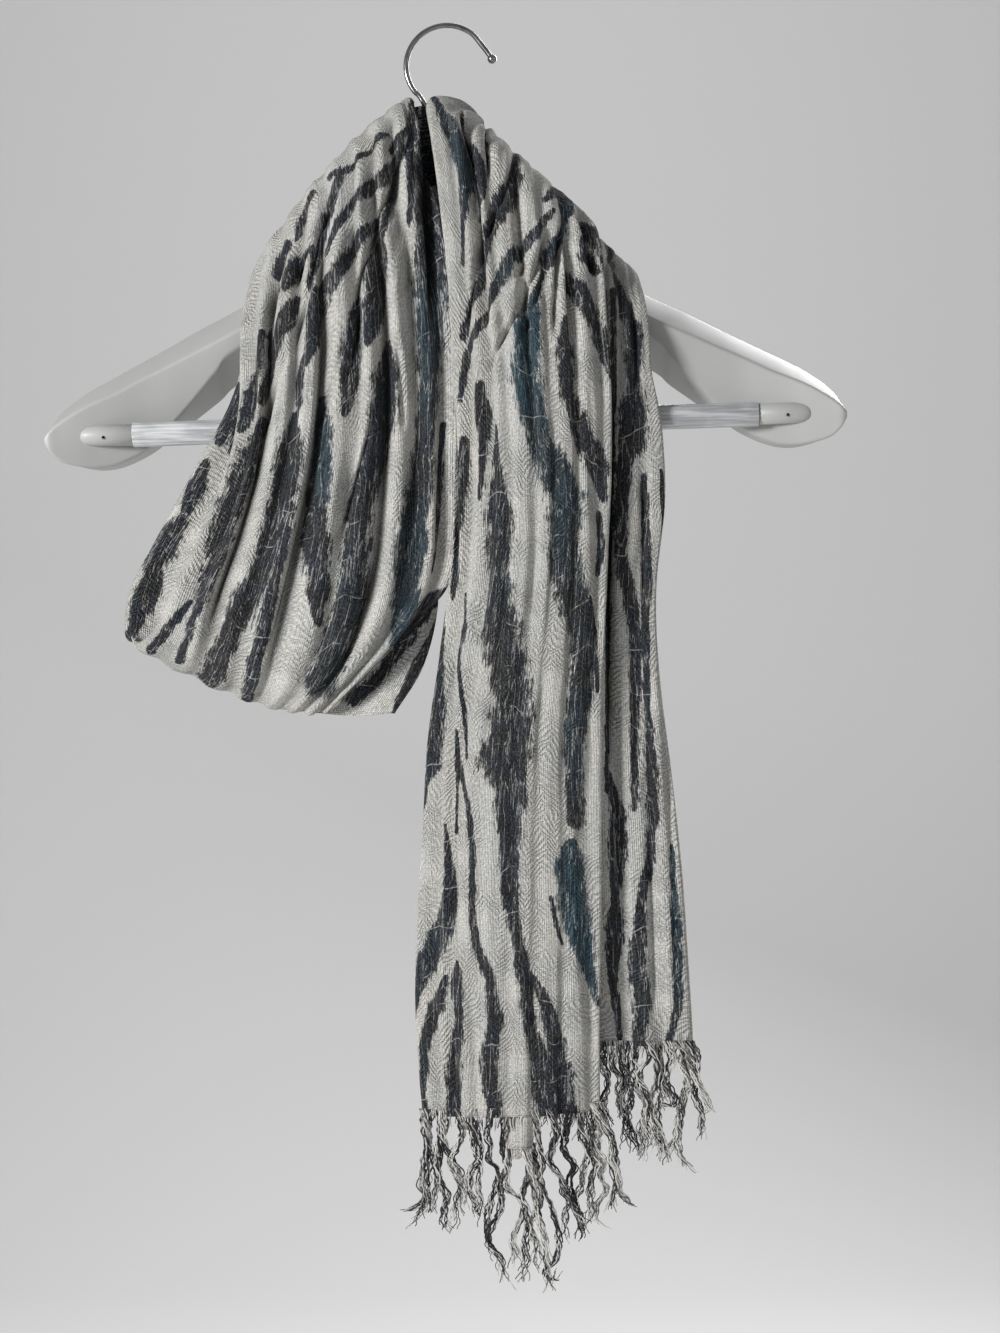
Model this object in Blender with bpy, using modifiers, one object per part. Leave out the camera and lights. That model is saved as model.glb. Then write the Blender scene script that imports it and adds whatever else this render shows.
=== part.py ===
"""Fringed scarf, doubled and looped behind the hook of a white coat hanger.

Metres, +Z up. The origin is the inside top of the hanger's hook, where a peg carries it.
+X is to the right of someone looking at the front, and the front faces -Y.
The cloth is a set of pleated walls: each follows a short table of rows from its top to its hem.
"""

import math

import bmesh
import bpy
import numpy as np
from mathutils import Matrix

MM = 0.001
SEAM_GAP = 0.3 * MM

# Cloth: the wall, and how far a valley drifts across the cloth and deepens as it runs down
CLOTH_WALL = 1.8 * MM
VALLEY_DRIFT = 0.010
DRIFT_TURNS = 9.0
VALLEY_UNEVEN = 0.18
UNEVEN_TURNS = 7.0
DRIFT_PHASE = 40.0
UNEVEN_PHASE = 23.0

# The strip that carries a fringe, under its hem
STRIP_WALL = 2.2 * MM
STRIP_DROP = 5.0 * MM
ROOT_SINK = 0.45 * STRIP_DROP

# Fringe: locks of yarn, three sides each
LOCK_RADIUS = 1.25 * MM
LOCK_RINGS = 5
LOCK_SPACING = 3.9 * MM
CROWDING = 0.97
LOCK_TAPER = 0.45
LOCK_UNEVEN = 0.07
LOCK_BEAT = 12.9
LOCK_TURN = 0.5
LOCK_EASE = 3.0
LOCK_WANDER_X = 2.6 * MM
LOCK_WANDER_Y = 1.3 * MM
WANDER_PER_METRE = (150.0, 110.0)
WANDER_ACROSS = (26.0, 31.0)

# Hanger, drawn level and then tilted the way the load tilts it
HANGER_TILT = math.radians(1.9)
HANGER_AXIS_X = -8.0 * MM
ARM_EDGE_ROUND = 1.6 * MM
BAR_Y = -13.5 * MM
BAR_Z = -228.3 * MM
SLEEVE_RADIUS = 7.0 * MM
SLEEVE_HALF = 177.0 * MM
CAP_RADIUS = 6.0 * MM
CAP_END = 208.0 * MM
CAP_BORE_END = 209.0 * MM
BAR_CLEARANCE = 0.3 * MM
SLEEVE_RIBS = 16
RIB_DEPTH = 0.4 * MM
ROUND_SIDES = 24

# Hook
WIRE_RADIUS = 1.5 * MM
HOOK_RADIUS = 23.5 * MM
HOOK_CENTRE = (-0.7 * MM, -22.0 * MM)
HOOK_ARC_DEGREES = (228.0, 48.0)
HOOK_ARC_STEP = 12.0
HOOK_TAIL = ((19.6, -10.6), (22.6, -14.6), (25.2, -18.6))
STEM_POINTS = ((-8.0, -99.0), (-8.0, -80.0), (-8.0, -64.0), (-10.0, -52.5))
BALL_RADIUS = 2.7 * MM
STEM_BORE_FLOOR = -99.4 * MM
STEM_BORE_TOP = -60.0 * MM

# One row is a line across the cloth from its outer edge through its middle to its inner edge.
# outer x, y, z, middle x, y, z, inner x, y, z, and fold, the depth of the pleats there (mm)
CROSSING_ROWS = (
    (-23.4, 13.8, -118, -23.4, 13.8, -84, -23.4, 9, -49, 1.5),
    (-6.0, 14.0, -119, -6.0, 14.0, -83, -6.0, 9, -47, 1.5),
    (11.4, 13.8, -118, 11.4, 13.8, -84, 11.4, 9, -49, 1.5),
)
LOOP_FRONT_ROWS = (
    (-24.3, 14.5, -84, -24.3, 12, -67, -24.3, 9, -49, 2.0),
    (-84, 18, -122, -55, 18, -70, -26, 5, -43, 3.5),
    (-109, 2, -134, -66, 2, -76, -22, -3, -40, 4.5),
    (-115, -22, -160, -61, -28, -92, -17, -12, -45, 7.0),
    (-117, -32, -186, -61, -42, -133, -8, -20.5, -82, 9.0),
    (-117, -37, -220, -59, -49, -183, 3, -27, -128, 10.0),
    (-122, -41, -251, -60, -53, -234, 10, -31, -187, 9.5),
    (-135, -44, -288, -65, -55, -280, 11, -33.5, -246, 9.0),
    (-152, -46, -320, -72, -56, -324, 10, -35, -301, 8.0),
    (-162, -44, -342, -80, -55, -357, -1, -37, -328, 7.0),
    (-170, -38, -351, -89, -49, -379, -26, -43, -353, 5.0),
    (-176, -31, -354, -98, -40, -388, -56, -40, -384, 3.0),
)
LOOP_BACK_ROWS = (
    (-24.3, 13.8, -118, -24.3, 13.8, -105, -24.3, 13.8, -91, 1.5),
    (-66, 15.4, -134, -48, 15.4, -112, -34, 15, -96, 1.5),
    (-104, 15, -140, -68, 15, -119, -40, 13, -99, 2.0),
    (-108, -15, -162, -70, -15, -140, -38, -14, -116, 2.5),
    (-114, -24, -190, -66, -27, -170, -26, -26, -148, 3.0),
    (-123, -25.5, -219, -60, -31, -206, -8, -28, -188, 3.0),
    (-141, -25, -252, -64, -32, -250, -5, -28, -244, 3.5),
    (-162, -24, -290, -76, -32, -295, -4, -28, -306, 3.5),
    (-178, -22, -320, -88, -31, -328, -4, -29, -335, 3.5),
    (-182, -21, -341, -95, -29, -366, -12, -30, -365, 3.0),
    (-179, -24, -350, -97, -32, -386, -28, -34, -391, 2.0),
)
TAIL_FRONT_ROWS = (
    (12.3, 14.5, -84, 12.3, 12, -67, 12.3, 9, -49, 2.0),
    (56, 20, -97, 35, 17, -70, 14, 5, -44, 3.0),
    (74, 8, -101, 38, 3, -69, 4, -5, -40, 3.5),
    (85, -15, -117, 39, -25, -84, -11, -14, -42, 5.0),
    (90, -28, -142, 41, -39, -115, -10, -25, -66, 6.5),
    (92, -34, -172, 44, -47, -155, -5, -33, -107, 6.5),
    (94, -38, -211, 47, -51, -197, 0, -38, -161, 6.0),
    (94, -39, -256, 50, -52, -247, 2, -40.5, -228, 5.0),
    (92, -39, -307, 49, -52, -304, 1, -41.5, -304, 4.0),
    (90, -38, -357, 44, -51, -357, -5, -41, -357, 3.5),
    (89, -37, -407, 39, -50, -406, -12, -39, -407, 3.0),
    (89, -37, -457, 37, -49, -456, -15, -36, -457, 3.0),
    (89, -36, -507, 36, -48, -506, -18, -35, -507, 3.0),
    (88, -36, -557, 35, -47, -555, -19, -35, -557, 3.0),
    (88, -36, -612, 36, -47, -614, -15, -35, -615, 3.0),
)
TAIL_BACK_ROWS = (
    (12.3, 13.8, -118, 12.3, 13.8, -105, 12.3, 13.8, -91, 1.5),
    (76, 17.5, -126, 58, 17, -114, 40, 16.5, -101, 1.5),
    (105, 16.5, -134, 92, 16.5, -121, 78, 17, -110, 2.0),
    (112, -13, -153, 91, -17, -142, 72, -15, -131, 3.0),
    (115, -22, -176, 91, -24, -164, 66, -22, -154, 4.0),
    (116, -25.5, -199, 90, -28, -200, 60, -25, -193, 4.0),
    (122, -26, -230, 86, -29, -237, 50, -25, -236, 4.0),
    (124, -26, -272, 84, -29, -273, 44, -24, -272, 4.0),
    (119, -25, -322, 81, -28, -324, 40, -23, -323, 4.0),
    (121, -24, -370, 81, -27, -370, 38, -22, -370, 4.0),
    (127, -24, -420, 81, -27, -420, 36, -22, -420, 4.0),
    (133, -24, -475, 82, -27, -475, 37, -22, -475, 4.0),
    (137, -24, -530, 84, -27, -530, 40, -22, -530, 4.0),
    (140, -24, -579, 86, -27, -578, 42, -22, -579, 4.0),
)

# One row is a valley between two pleats: its place across the cloth at the top and at the foot
# (0 at the left edge, 1 at the right), its half width, its depth as a share of the row's fold,
# and its lean, how far the pleat beside it laps over the valley, in parts of its depth
LOOP_VALLEYS = (
    (0.07, 0.09, 0.050, 0.55, 0.5),
    (0.17, 0.20, 0.055, 0.95, -0.4),
    (0.29, 0.33, 0.055, 0.75, -0.3),
    (0.43, 0.45, 0.060, 1.00, -0.5),
    (0.57, 0.57, 0.055, 0.70, 0.4),
    (0.70, 0.68, 0.060, 1.00, 0.4),
    (0.83, 0.81, 0.060, 0.80, 0.3),
    (0.94, 0.93, 0.050, 0.60, -0.3),
)
TAIL_VALLEYS = (
    (0.12, 0.11, 0.050, 0.70, 0.3),
    (0.24, 0.21, 0.055, 1.00, 0.4),
    (0.36, 0.34, 0.055, 0.65, -0.3),
    (0.50, 0.49, 0.055, 0.95, 0.3),
    (0.64, 0.63, 0.055, 0.70, -0.4),
    (0.78, 0.78, 0.055, 1.00, -0.3),
    (0.91, 0.92, 0.050, 0.75, 0.3),
)
BACK_VALLEYS = (
    (0.10, 0.10, 0.070, 0.80, 0.2),
    (0.28, 0.27, 0.070, 1.00, -0.2),
    (0.46, 0.45, 0.070, 0.70, 0.2),
    (0.64, 0.65, 0.070, 1.00, -0.2),
    (0.83, 0.84, 0.070, 0.80, 0.2),
)

# Fringe length along the hem, from left to right (mm)
FRONT_FRINGE_LENGTHS = (50, 60, 62, 66, 100, 98, 66, 52)
BACK_FRINGE_LENGTHS = (58, 60, 64, 68, 68, 52)

# Arm stations: distance from the hanger's axis, heights of the back top edge, the front top
# edge, the front lower edge and the back lower edge, then the front and back faces' y (mm)
ARM_STATIONS = (
    (0, -86, -97, -120, -122, -11, 11),
    (12, -92, -107, -126, -132, -11, 11),
    (30, -108, -124, -137, -150, -11, 11.5),
    (60, -124, -141, -154, -170, -11, 12),
    (116, -153, -170, -178, -197, -11, 14),
    (130, -160, -177, -194, -208, -11, 14),
    (142, -166, -182.5, -204, -216, -11, 13.5),
    (155, -173, -189, -220, -225, -11.5, 13),
    (170, -181, -196, -234.6, -235, -12.5, 12.5),
    (185, -189, -204, -243, -243, -15, 11),
    (196, -195, -209, -246, -246, -17.5, 9.5),
    (206, -201, -214, -245.5, -245, -20, 7),
    (217, -210, -221, -243, -241, -22, 2),
    (223, -218, -226, -238, -235, -23, -4),
    (226, -227, -229, -233, -231, -22, -12),
)


def clear_scene():
    """Remove whatever the scene holds."""
    for item in list(bpy.data.objects):
        bpy.data.objects.remove(item, do_unlink=True)


def collection(name):
    """Add a collection to the scene."""
    group = bpy.data.collections.new(name)
    bpy.context.scene.collection.children.link(group)
    return group


def material(name, colour, roughness, metallic=0.0):
    """A Principled material of one colour."""
    made = bpy.data.materials.new(name)
    made.use_nodes = True
    shader = made.node_tree.nodes["Principled BSDF"]
    shader.inputs["Base Color"].default_value = (*colour, 1.0)
    shader.inputs["Roughness"].default_value = roughness
    shader.inputs["Metallic"].default_value = metallic
    return made


def mesh_object(name, points, faces, finish, group):
    """A new object from points and faces, shaded smooth."""
    mesh = bpy.data.meshes.new(name)
    mesh.from_pydata([tuple(point) for point in points], [], faces)
    mesh.shade_smooth()
    made = bpy.data.objects.new(name, mesh)
    if finish is not None:
        made.data.materials.append(finish)
    group.objects.link(made)
    return made


def face_outwards(made):
    """Turn a closed mesh's faces outwards."""
    work = bmesh.new()
    work.from_mesh(made.data)
    bmesh.ops.recalc_face_normals(work, faces=work.faces)
    work.to_mesh(made.data)
    work.free()


def spline(rows, count):
    """Read a table at count even steps, on a smooth curve through its rows (Catmull-Rom)."""
    table = np.array(rows, dtype=float)
    padded = np.vstack((2 * table[0] - table[1], table, 2 * table[-1] - table[-2]))
    place = np.linspace(0, len(table) - 1, count)
    first = np.minimum(place.astype(int), len(table) - 2)
    t = (place - first)[:, None]
    a, b, c, d = (padded[first + k] for k in range(4))
    return 0.5 * (2 * b + (c - a) * t + (2 * a - 5 * b + 4 * c - d) * t**2 + (3 * (b - c) + d - a) * t**3)


def unit(vectors):
    """Scale vectors to a length of one."""
    return vectors / np.linalg.norm(vectors, axis=-1, keepdims=True)


def cloth_points(rows, outer_side, valleys, across, along):
    """Points of a pleated sheet, as an array [along, across, xyz] in metres.

    Each row is the parabola through its outer, middle and inner points, read from left to right
    as the front shows it. Every valley presses the sheet back along its normal by a raised
    cosine, and shifts it sideways by its lean.
    """
    table = spline(rows, along)
    u = np.linspace(0, 1, across)[None, :, None]
    outer, middle, inner = (table[:, None, 3 * k:3 * k + 3] for k in range(3))
    left, right = (outer, inner) if outer_side == "left" else (inner, outer)
    base = left * (2 * u - 1) * (u - 1) + middle * 4 * u * (1 - u) + right * u * (2 * u - 1)
    side = unit(np.gradient(base, axis=1))
    down = unit(np.gradient(base, axis=0))
    front = unit(np.cross(down, side))
    fall = np.linspace(0, 1, along)[:, None]
    press = np.zeros((along, across))
    shift = np.zeros((along, across))
    for top, foot, half, share, lean in valleys:
        place = top + (foot - top) * fall + VALLEY_DRIFT * np.sin(DRIFT_TURNS * fall + DRIFT_PHASE * top)
        away = np.clip((u[..., 0] - place) / half, -1, 1)
        uneven = 1 - VALLEY_UNEVEN + VALLEY_UNEVEN * np.sin(UNEVEN_TURNS * fall + UNEVEN_PHASE * top)
        depth = share * uneven * (0.5 + 0.5 * np.cos(np.pi * away))
        press += depth
        shift += depth * lean
    fold = table[:, 9:10]
    moved = base - front * (press * fold)[..., None] + side * (shift * fold)[..., None]
    return moved * MM


def grid_faces(along, across):
    """Quads of a grid of points counted row by row."""
    return [(i * across + j, i * across + j + 1, (i + 1) * across + j + 1, (i + 1) * across + j)
            for i in range(along - 1) for j in range(across - 1)]


def wall_object(name, points, thickness, finish, group):
    """A closed wall of even thickness about a grid of points."""
    along, across = points.shape[:2]
    made = mesh_object(name, points.reshape(-1, 3), grid_faces(along, across), finish, group)
    wall = made.modifiers.new("wall", "SOLIDIFY")
    wall.thickness = thickness
    wall.offset = 0.0
    return made


def lock_mesh(root, length, turn):
    """Points and faces of one lock: a three-sided tube that wanders as it falls."""
    points, faces = [], []
    for ring in range(LOCK_RINGS):
        fall = ring / (LOCK_RINGS - 1)
        x, y, z = root[0], root[1], root[2] - fall * length
        ease = math.sin(0.5 * math.pi * min(1.0, LOCK_EASE * fall))
        x += LOCK_WANDER_X * ease * math.sin(WANDER_PER_METRE[0] * z + WANDER_ACROSS[0] * root[0])
        y += LOCK_WANDER_Y * ease * math.cos(WANDER_PER_METRE[1] * z + WANDER_ACROSS[1] * root[0])
        radius = LOCK_RADIUS * (1.0 - LOCK_TAPER * fall)
        for corner in range(3):
            angle = turn + 2 * math.pi * corner / 3
            points.append((x + radius * math.cos(angle), y + radius * math.sin(angle), z))
    for ring in range(LOCK_RINGS - 1):
        for corner in range(3):
            a, b = ring * 3 + corner, ring * 3 + (corner + 1) % 3
            faces.append((a, b, b + 3, a + 3))
    last = 3 * (LOCK_RINGS - 1)
    faces.append((2, 1, 0))
    faces.append((last, last + 1, last + 2))
    return points, faces


def spaced_roots(line, spacing):
    """Even steps along the hem's folded line, leaving out roots that crowd one in another fold."""
    steps = np.linalg.norm(np.diff(line, axis=0), axis=1)
    run = np.concatenate(([0.0], np.cumsum(steps)))
    places = np.arange(spacing / 2, run[-1] - spacing / 2, spacing)
    kept = []
    for place in places:
        point = np.array([np.interp(place, run, line[:, axis]) for axis in range(3)])
        if all(math.dist(point[:2], other[0][:2]) > spacing * CROWDING for other in kept):
            kept.append((point, place / run[-1]))
    return kept


def fringe_object(name, hem, lengths, finish, group):
    """A narrow strip just under the hem, with the locks of the fringe fused into it."""
    rows = [hem - np.array([0, 0, SEAM_GAP + drop]) for drop in (0, STRIP_DROP)]
    strip = wall_object(name, np.array(rows), STRIP_WALL, finish, group)
    points, faces = [], []
    for index, (root, share) in enumerate(spaced_roots(rows[1], LOCK_SPACING)):
        reach = np.interp(share, np.linspace(0, 1, len(lengths)), lengths) * MM
        length = reach * (1 - LOCK_UNEVEN + LOCK_UNEVEN * math.sin(LOCK_BEAT * index))
        top = (root[0], root[1], root[2] + ROOT_SINK)
        lock_points, lock_faces = lock_mesh(top, length, LOCK_TURN * index)
        start = len(points)
        points += lock_points
        faces += [tuple(start + corner for corner in face) for face in lock_faces]
    locks = mesh_object(name + "_locks", points, faces, None, CUTTERS)
    face_outwards(locks)
    hide_cutter(locks)
    fuse = strip.modifiers.new("locks", "BOOLEAN")
    fuse.operation = "UNION"
    fuse.object = locks
    return strip


def hide_cutter(made):
    """Mark a cutter or a fused-in piece as construction only."""
    made.hide_render = True
    made.display_type = "WIRE"


def cut(target, cutter, name):
    """Take a cutter's shape out of a piece."""
    hide_cutter(cutter)
    hole = target.modifiers.new(name, "BOOLEAN")
    hole.operation = "DIFFERENCE"
    hole.object = cutter


def rod(name, start, end, radius, sides, finish, group, axis="X"):
    """A round bar from start to end along X or Z, as a closed mesh about the hanger's own frame."""
    work = bmesh.new()
    bmesh.ops.create_cone(work, cap_ends=True, segments=sides, radius1=radius, radius2=radius,
                          depth=end[0] - start[0] if axis == "X" else end[2] - start[2])
    middle = [(a + b) / 2 for a, b in zip(start, end)]
    turn = Matrix.Rotation(math.pi / 2, 4, "Y") if axis == "X" else Matrix.Identity(4)
    bmesh.ops.transform(work, matrix=Matrix.Translation(middle) @ turn, verts=work.verts)
    mesh = bpy.data.meshes.new(name)
    work.to_mesh(mesh)
    work.free()
    mesh.shade_smooth()
    mesh.set_sharp_from_angle(angle=math.radians(40))
    made = bpy.data.objects.new(name, mesh)
    if finish is not None:
        made.data.materials.append(finish)
    group.objects.link(made)
    return made


def hanger_body(frame, finish, group):
    """Both arms as one loft of four-cornered sections, mirrored about the hanger's axis."""
    stations = [(-row[0],) + row[1:] for row in reversed(ARM_STATIONS[1:])] + list(ARM_STATIONS)
    points = []
    for reach, back_top, front_top, front_low, back_low, front_y, back_y in stations:
        x = HANGER_AXIS_X + reach * MM
        for y, z in ((front_y, front_top), (back_y, back_top), (back_y, back_low), (front_y, front_low)):
            points.append((x, y * MM, z * MM))
    faces = []
    for section in range(len(stations) - 1):
        for corner in range(4):
            a, b = section * 4 + corner, section * 4 + (corner + 1) % 4
            faces.append((a, a + 4, b + 4, b))
    last = 4 * (len(stations) - 1)
    faces.append((0, 1, 2, 3))
    faces.append((last + 3, last + 2, last + 1, last))
    body = mesh_object("hanger_body", points, faces, finish, group)
    face_outwards(body)
    body.parent = frame
    rounding = body.modifiers.new("rounding", "BEVEL")
    rounding.width = ARM_EDGE_ROUND
    rounding.segments = 2
    rounding.limit_method = "ANGLE"
    rounding.angle_limit = math.radians(38)
    return body


def bar_line(reach):
    """A point on the trouser bar's axis at a signed distance from the hanger's axis."""
    return (HANGER_AXIS_X + reach, BAR_Y, BAR_Z)


def trouser_bar(frame, body, plastic, sleeve_finish, group):
    """The ribbed sleeve, a plain cap at each end of it, and the bores that take them in the arms."""
    sleeve = ribbed_sleeve(sleeve_finish, group)
    sleeve.parent = frame
    wide = rod("sleeve_bore", bar_line(-SLEEVE_HALF - BAR_CLEARANCE), bar_line(SLEEVE_HALF + BAR_CLEARANCE),
               SLEEVE_RADIUS + BAR_CLEARANCE, ROUND_SIDES, None, CUTTERS)
    narrow = rod("cap_bore", bar_line(-CAP_BORE_END), bar_line(CAP_BORE_END),
                 CAP_RADIUS + BAR_CLEARANCE, ROUND_SIDES, None, CUTTERS)
    for bore in (wide, narrow):
        bore.parent = frame
        cut(body, bore, bore.name)
    start = SLEEVE_HALF + BAR_CLEARANCE
    left = rod("bar_cap_left", bar_line(-CAP_END), bar_line(-start), CAP_RADIUS, ROUND_SIDES, plastic, group)
    right = rod("bar_cap_right", bar_line(start), bar_line(CAP_END), CAP_RADIUS, ROUND_SIDES, plastic, group)
    for cap in (left, right):
        cap.parent = frame


def ribbed_sleeve(finish, group):
    """The sleeve's section has shallow ribs, two points to a rib, and runs the bar's whole length."""
    points = []
    sides = SLEEVE_RIBS * 2
    for end in (-SLEEVE_HALF, SLEEVE_HALF):
        for side in range(sides):
            angle = 2 * math.pi * side / sides
            radius = SLEEVE_RADIUS if side % 2 == 0 else SLEEVE_RADIUS - RIB_DEPTH
            x, y, z = bar_line(end)
            points.append((x, y + radius * math.cos(angle), z + radius * math.sin(angle)))
    faces = [(side, (side + 1) % sides, sides + (side + 1) % sides, sides + side) for side in range(sides)]
    faces.append(tuple(range(sides - 1, -1, -1)))
    faces.append(tuple(range(sides, 2 * sides)))
    sleeve = mesh_object("bar_sleeve", points, faces, finish, group)
    face_outwards(sleeve)
    sleeve.data.set_sharp_from_angle(angle=math.radians(20))
    return sleeve


def hook_route():
    """The wire's centre line: up the stem, round the arc and down the short tail."""
    centre_x, centre_z = HOOK_CENTRE
    arc = []
    for angle in np.arange(HOOK_ARC_DEGREES[0], HOOK_ARC_DEGREES[1] - 0.01, -HOOK_ARC_STEP):
        turn = math.radians(angle)
        arc.append((centre_x + HOOK_RADIUS * math.cos(turn), centre_z + HOOK_RADIUS * math.sin(turn)))
    stem = [(x * MM, z * MM) for x, z in STEM_POINTS]
    tail = [(x * MM, z * MM) for x, z in HOOK_TAIL]
    return stem + arc + tail


def hook(frame, body, finish, group):
    """Bent wire with a ball on its tip, standing in a bore in the hanger's neck."""
    route = spline(hook_route(), 3 * len(hook_route()) - 2)
    curve = bpy.data.curves.new("hook_wire", "CURVE")
    curve.dimensions = "3D"
    curve.bevel_depth = WIRE_RADIUS
    curve.bevel_resolution = 2
    curve.use_fill_caps = True
    line = curve.splines.new("POLY")
    line.points.add(len(route) - 1)
    for point, (x, z) in zip(line.points, route):
        point.co = (x, 0.0, z, 1.0)
    wire = bpy.data.objects.new("hook_wire", curve)
    group.objects.link(wire)
    bpy.context.view_layer.update()
    mesh = bpy.data.meshes.new_from_object(wire.evaluated_get(bpy.context.evaluated_depsgraph_get()))
    bpy.data.objects.remove(wire)
    work = bmesh.new()
    work.from_mesh(mesh)
    bmesh.ops.remove_doubles(work, verts=work.verts, dist=0.00001)
    bmesh.ops.recalc_face_normals(work, faces=work.faces)
    work.to_mesh(mesh)
    work.free()
    mesh.shade_smooth()
    made = bpy.data.objects.new("hook", mesh)
    made.data.materials.clear()
    made.data.materials.append(finish)
    made.parent = frame
    group.objects.link(made)
    tip = bmesh.new()
    bmesh.ops.create_uvsphere(tip, u_segments=12, v_segments=8, radius=BALL_RADIUS)
    bmesh.ops.translate(tip, vec=(route[-1][0], 0.0, route[-1][1]), verts=tip.verts)
    ball_mesh = bpy.data.meshes.new("hook_ball")
    tip.to_mesh(ball_mesh)
    tip.free()
    ball = bpy.data.objects.new("hook_ball", ball_mesh)
    CUTTERS.objects.link(ball)
    ball.parent = frame
    hide_cutter(ball)
    fuse = made.modifiers.new("ball", "BOOLEAN")
    fuse.operation = "UNION"
    fuse.object = ball
    bore = rod("stem_bore", (HANGER_AXIS_X, 0.0, STEM_BORE_FLOOR), (HANGER_AXIS_X, 0.0, STEM_BORE_TOP),
               WIRE_RADIUS + BAR_CLEARANCE, 16, None, CUTTERS, axis="Z")
    bore.parent = frame
    cut(body, bore, "stem_bore")


clear_scene()
PIECES = collection("fringed scarf on hanger")
CUTTERS = collection("cutters")

print_cloth = material("print_cloth", (0.47, 0.46, 0.43), 0.88)
fringe_yarn = material("fringe_yarn", (0.36, 0.36, 0.35), 0.85)
white_plastic = material("white_plastic", (0.82, 0.82, 0.80), 0.42)
clear_sleeve = material("clear_sleeve", (0.62, 0.63, 0.64), 0.30)
chrome_wire = material("chrome_wire", (0.30, 0.30, 0.31), 0.22, 1.0)

hanger_frame = bpy.data.objects.new("hanger_frame", None)
hanger_frame.rotation_euler = (0.0, -HANGER_TILT, 0.0)
PIECES.objects.link(hanger_frame)
arms = hanger_body(hanger_frame, white_plastic, PIECES)
trouser_bar(hanger_frame, arms, white_plastic, clear_sleeve, PIECES)
hook(hanger_frame, arms, chrome_wire, PIECES)

CLOTH = (
    ("crossing", CROSSING_ROWS, "right", BACK_VALLEYS, 21, 5),
    ("loop_front", LOOP_FRONT_ROWS, "left", LOOP_VALLEYS, 41, 19),
    ("loop_back", LOOP_BACK_ROWS, "left", BACK_VALLEYS, 27, 17),
    ("tail_front", TAIL_FRONT_ROWS, "right", TAIL_VALLEYS, 37, 20),
    ("tail_back", TAIL_BACK_ROWS, "right", BACK_VALLEYS, 25, 19),
)
hems = {}
for cloth_name, cloth_rows, outer_side, cloth_valleys, across_count, along_count in CLOTH:
    sheet = cloth_points(cloth_rows, outer_side, cloth_valleys, across_count, along_count)
    wall_object(cloth_name, sheet, CLOTH_WALL, print_cloth, PIECES)
    hems[cloth_name] = sheet[-1]

fringe_object("fringe_front", hems["tail_front"], FRONT_FRINGE_LENGTHS, fringe_yarn, PIECES)
fringe_object("fringe_back", hems["tail_back"], BACK_FRINGE_LENGTHS, fringe_yarn, PIECES)
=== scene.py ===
"""Looks of a fringed scarf that hangs doubled from a white coat hanger.

Metres, +Z up, the front faces -Y, and the origin is the inside top of the hanger's hook.
The cloth is worked out in millimetres, from nearly the same rows as the solids, and the finer
creases, the print and the fringe from tables given in the picture's own pixels.
"""

import math

import bpy
import numpy as np
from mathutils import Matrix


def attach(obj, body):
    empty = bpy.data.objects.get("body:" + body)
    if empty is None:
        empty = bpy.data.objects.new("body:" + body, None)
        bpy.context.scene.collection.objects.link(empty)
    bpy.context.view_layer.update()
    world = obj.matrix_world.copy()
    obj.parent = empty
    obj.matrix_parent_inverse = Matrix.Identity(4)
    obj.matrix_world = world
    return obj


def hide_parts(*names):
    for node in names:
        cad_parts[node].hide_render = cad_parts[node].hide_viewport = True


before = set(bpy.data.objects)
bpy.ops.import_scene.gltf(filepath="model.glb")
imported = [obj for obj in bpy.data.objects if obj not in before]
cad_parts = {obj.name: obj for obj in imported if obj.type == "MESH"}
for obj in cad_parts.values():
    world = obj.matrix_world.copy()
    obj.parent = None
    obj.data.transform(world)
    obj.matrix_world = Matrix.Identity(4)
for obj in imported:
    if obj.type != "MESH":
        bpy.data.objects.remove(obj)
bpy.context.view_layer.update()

MM = 0.001

# Camera: level, straight in front (mm). PIXEL is the size of one of the picture's pixels on the
# hanger's plane, and PIXEL_X0, PIXEL_Y0 is the pixel where the origin shows
CAMERA_X = 30.3
CAMERA_Z = -365.5
CAMERA_DISTANCE = 1250.0
PIXEL = 0.5725
PIXEL_X0 = 447.0
PIXEL_Y0 = 27.5
PICTURE_HEIGHT = 1333 * PIXEL
SENSOR = 36.0

# Cloth: its own thickness, how its edges turn back, how its valleys drift and swell on the way
# down, and from which depth (mm) painted shade darkens the hollow of a fold
CLOTH_WALL = 0.8 * MM
EDGE_SHARE = 0.035
EDGE_LEAN = 0.35
VALLEY_DRIFT = 0.010
DRIFT_TURNS = 9.0
DRIFT_PHASE = 40.0
VALLEY_UNEVEN = 0.18
UNEVEN_TURNS = 7.0
UNEVEN_PHASE = 23.0
FOLD_SHADE_START = 3.0
FOLD_SHADE_SPAN = 7.0

# Creases fade in and out over these shares of their length, and swell and ebb on the way
CREASE_FADE_IN = 0.22
CREASE_FADE_OUT = 0.3
CREASE_SWELL = 0.15
CREASE_TURNS = 11

# Crinkles: height, then the size of one across and down (mm); WARP_BEND, in the same terms, is
# how far their lines wander sideways
WARP_BEND = (1.2, 30, 26)
CRINKLES = ((0.42, 4.2, 34), (0.20, 2.1, 15), (0.16, 9.0, 4.4))
NOISE_CELLS = 64

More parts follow.
